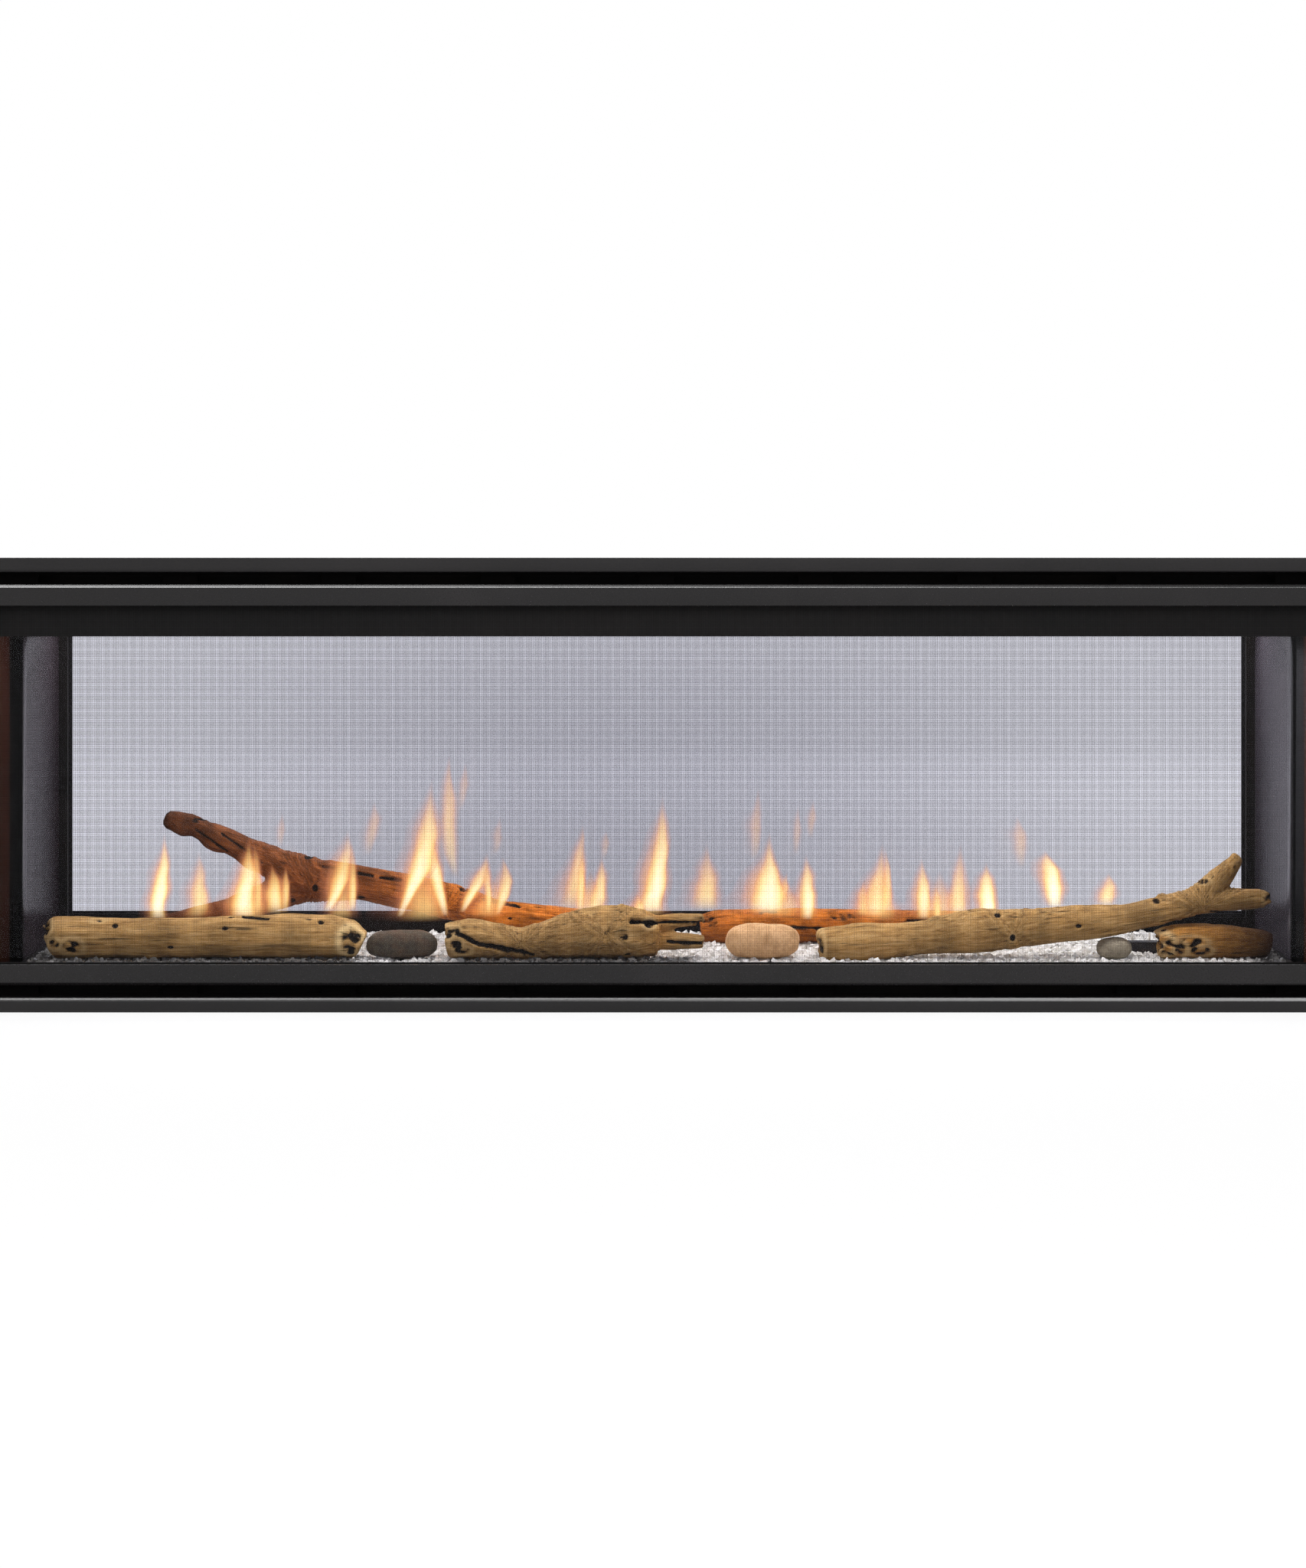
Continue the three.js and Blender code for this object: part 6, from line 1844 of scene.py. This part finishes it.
    def skin(self, shape: Shape, tongue: Tongue, y: float, skin: Skin) -> None:
        """Adds one closed skin of a tongue, with how hot and how thick it looks at each point.

        Args:
            shape: The mesh that takes it.
            tongue: The tongue.
            y: Where it stands across the burner, in millimetres.
            skin: Which skin it is.
        """
        spine = np.array(tongue.spine)
        stops = np.linspace(0.0, 1.0, len(spine))
        seed = float(spine[0][0])
        rings = []
        for k in range(self.steps + 1):
            t = k / self.steps
            place = t * skin.reach if tongue.kind is TongueKind.ROOTED else 0.5 + (t - 0.5) * skin.reach
            x, z, half = (float(np.interp(place, stops, spine[:, c])) for c in range(3))
            if tongue.kind is TongueKind.WISP:
                z += (place - 0.5) * self.wisp_stretch * (spine[-1][1] - spine[0][1])
            close = min(1.0, (1 - t) / self.closing) ** self.closing_power
            half = max(half * skin.girth * close, self.least_mm)
            curl = noise.noise(Vector((seed, t * self.curl[0], skin.girth))) * half * self.curl[1]
            if tongue.kind is TongueKind.ROOTED:
                fade = min(1.0, t / self.rise) * min(1.0, (1 - t) / self.fall)
            else:
                fade = self.wisp_strength * math.sin(math.pi * t)
            ring = []
            for i in range(self.sides):
                angle = math.tau * i / self.sides
                across, deep = math.cos(angle), math.sin(angle)
                edge = Vector((seed, t * self.fray[0], across * self.fray[1]))
                fray = 1 + self.fray[2] * noise.noise(edge)
                place_x = x + curl + (across + skin.aside) * half * fray
                ring.append(Vector((place_x, y + deep * half * self.depth_share, z)) * MM)
                face = abs(deep) ** self.edge_power * (1 + self.edge_lean * across)
                shape.values["veil"].append(min(self.most_veil, skin.veil * fade * face * tongue.glow))
                body_heat = skin.heat * min(1.0, face) * (1 - self.cooling * t ** 2)
                heat = body_heat * (self.dim_heat + (1 - self.dim_heat) * tongue.glow)
                shape.values["hotness"].append(min(1.0, heat))
            rings.append(ring)
        shape.loft(rings)

    def build(self) -> None:
        """Makes all the flames as one piece that rides on the housing."""
        draw = random.Random(self.seed)
        shape = Shape()
        shape.values = {"veil": [], "hotness": []}
        for tongue in self.tongues:
            y = draw.uniform(-self.across_mm, self.across_mm)
            for skin in self.skins:
                self.skin(shape, tongue, y, skin)
        flames = shape.finish("gas_flames", Body.HOUSING, GasFlame(), smooth_degrees=80.0)
        flames.visible_shadow = False


@dataclass
class Face:
    """One of the two faces: trim, barrier screen, glass assembly and its seat."""

    side: Side
    pitch_mm: float = 1.231
    wire_mm: float = 0.155
    band_mm: float = 7.885
    band_share: float = 0.0
    band_from_mm: float = 395.6
    net_edge_mm: float = 0.5
    folded_edge_mm: float = 0.35

    def section(self, place: float) -> list[tuple[float, float]]:
        """Gives the corners of one wire's section, as offsets from its middle.

        The single wires are too fine to show. The weave reads as a grid of soft dark lines one band apart,
        so the wires are drawn a little thicker and thinner by turns to show it.

        Args:
            place: How far the wire lies from the start of the bands.

        Returns:
            Four pairs of offsets.
        """
        swell = 1 - self.band_share * math.cos(math.tau * place / (self.band_mm * MM))
        radius = self.wire_mm / 2 * MM * swell
        return [(radius, 0.0), (0.0, radius), (-radius, 0.0), (0.0, -radius)]

    def wires(self) -> None:
        """Weaves the barrier screen's fine wires in place of the construction's wide net.

        A woven wire's waves are far too small to show, so each wire is a straight rod.
        """
        prefix = self.side.name.lower()
        low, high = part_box(prefix + "_screen_net")
        middle = (low.y + high.y) / 2
        radius = self.wire_mm / 2 * MM
        pitch = self.pitch_mm * MM
        shape = Shape()
        edge = self.net_edge_mm * MM
        left, right, foot, head = low.x + edge, high.x - edge, low.z + edge, high.z - edge
        columns = int((high.x - low.x - 2 * edge) / pitch)
        rows = int((high.z - low.z - 2 * edge) / pitch)
        for c in range(columns + 1):
            x = (c - columns / 2) * pitch
            y = middle - radius
            offsets = self.section(x)
            shape.loft([[Vector((x + a, y + b, z)) for a, b in offsets] for z in (foot, head)])
        centre = (low.z + high.z) / 2
        for r in range(rows + 1):
            z = centre + (r - rows / 2) * pitch
            y = middle + radius
            offsets = self.section(z - self.band_from_mm * MM)
            shape.loft([[Vector((x, y + a, z + b)) for a, b in offsets] for x in (left, right)])
        body = Body[self.side.name + "_SCREEN"]
        net = prefix + "_screen_net"
        shape.finish(prefix + "_screen_wires", body, WIRE_COAT, smooth_degrees=100.0, replaces=[net])

    def build(self) -> None:
        """Dresses this face and weaves its screen."""
        prefix = self.side.name.lower()
        dress([prefix + "_trim"], TRIM_COAT, edge_mm=self.folded_edge_mm)
        dress([prefix + "_screen_frame"], SCREEN_COAT, edge_mm=self.folded_edge_mm)
        dress([prefix + "_glass_frame"], FRAME_PAINT)
        dress([prefix + "_glass_seat"], HEAT_PAINT)
        dress([prefix + "_glass_pane"], CeramicPane(), edge_mm=0.0, smooth_degrees=0.0)
        dress([prefix + "_glass_gasket"], GLASS_ROPE, edge_mm=0.6)
        self.wires()


@dataclass
class GasTrain:
    """The valve, the shutoff and the tubes between them."""

    runs: tuple[tuple[str, SurfaceFinish], ...] = (
        ("burner_tube", DRAWN_ALUMINIUM), ("pilot_tube", DRAWN_ALUMINIUM), ("supply_tube", BRASS),
    )
    nut_mm: float = 7.5
    nut_length_mm: float = 9.0
    nut_chamfer_mm: float = 0.8
    nut_tail_mm: float = 2.0
    nut_face_share: float = 0.8
    nut_tail_share: float = 0.7

    def tubes(self) -> None:
        """Rounds the tubes and gives each end of the burner and supply tubes its flare nut."""
        for node, surface in self.runs:
            dress([node], surface, edge_mm=0.0, smooth_degrees=60.0)
            round_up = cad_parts[node].modifiers.new("round", "SUBSURF")
            round_up.levels = 1
            round_up.render_levels = 2
        shape = Shape()
        profile = (
            (self.nut_mm * self.nut_face_share, 0.0),
            (self.nut_mm, self.nut_chamfer_mm),
            (self.nut_mm, self.nut_length_mm),
            (self.nut_mm * self.nut_tail_share, self.nut_length_mm + self.nut_tail_mm),
        )
        ends = (
            ("burner_tube", 0, False, Axis.X), ("burner_tube", 1, True, Axis.FRONTWARD),
            ("supply_tube", 0, True, Axis.LEFT), ("supply_tube", 1, True, Axis.FRONTWARD),
        )
        for node, axis, high, way in ends:
            shape.turned(end_of(node, axis, high), way, profile, HEX_SIDES)
        shape.finish("flare_nuts", Body.HOUSING, BRASS, smooth_degrees=25.0)

    def build(self) -> None:
        """Dresses the gas train."""
        dress(["gas_valve"], CAST_ALUMINIUM, edge_mm=0.8)
        dress(["flame_knob"], RED_NYLON, edge_mm=0.4)
        dress(["shutoff_valve"], BRASS)
        dress(["shutoff_handle"], RED_DIP, edge_mm=0.5)
        self.tubes()


@dataclass
class Controls:
    """The control module, the junction box and the access cover."""

    cover_screw_inset_mm: float = 7.0
    cover_sheet_mm: float = 1.5

    def cover_screws(self) -> None:
        """Sets hex screws round the lap of the access cover."""
        shape = Shape()
        low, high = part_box("access_cover")
        inset = self.cover_screw_inset_mm * MM
        x = low.x + self.cover_sheet_mm * MM
        for y in (low.y + inset, (low.y + high.y) / 2, high.y - inset):
            for z in (low.z + inset, high.z - inset):
                shape.hex_screw(Vector((x, y, z)), Axis.X)
        for y in (low.y + inset, high.y - inset):
            shape.hex_screw(Vector((x, y, (low.z + high.z) / 2)), Axis.X)
        shape.finish("cover_screws", Body.COVER, DRAWN_ALUMINIUM)

    def build(self) -> None:
        """Dresses the controls and adds the cover's screws."""
        dress(["control_module"], BLACK_ABS, edge_mm=0.8)
        dress(["rocker_switch"], RED_NYLON, edge_mm=0.4)
        dress(["junction_box", "access_cover"], GALVANISED)
        self.cover_screws()


def main() -> None:
    """Builds the studio and every sub-assembly in order."""
    logging.basicConfig(level=logging.INFO, format="%(message)s")
    Studio().build()
    assemblies = (
        Casing(), Firebox(), Burner(), MediaBed(), LogSet(), Flames(),
        Face(Side.FRONT, band_share=0.24), Face(Side.REAR), GasTrain(), Controls(),
    )
    for assembly in assemblies:
        assembly.build()


if __name__ == "__main__":
    main()
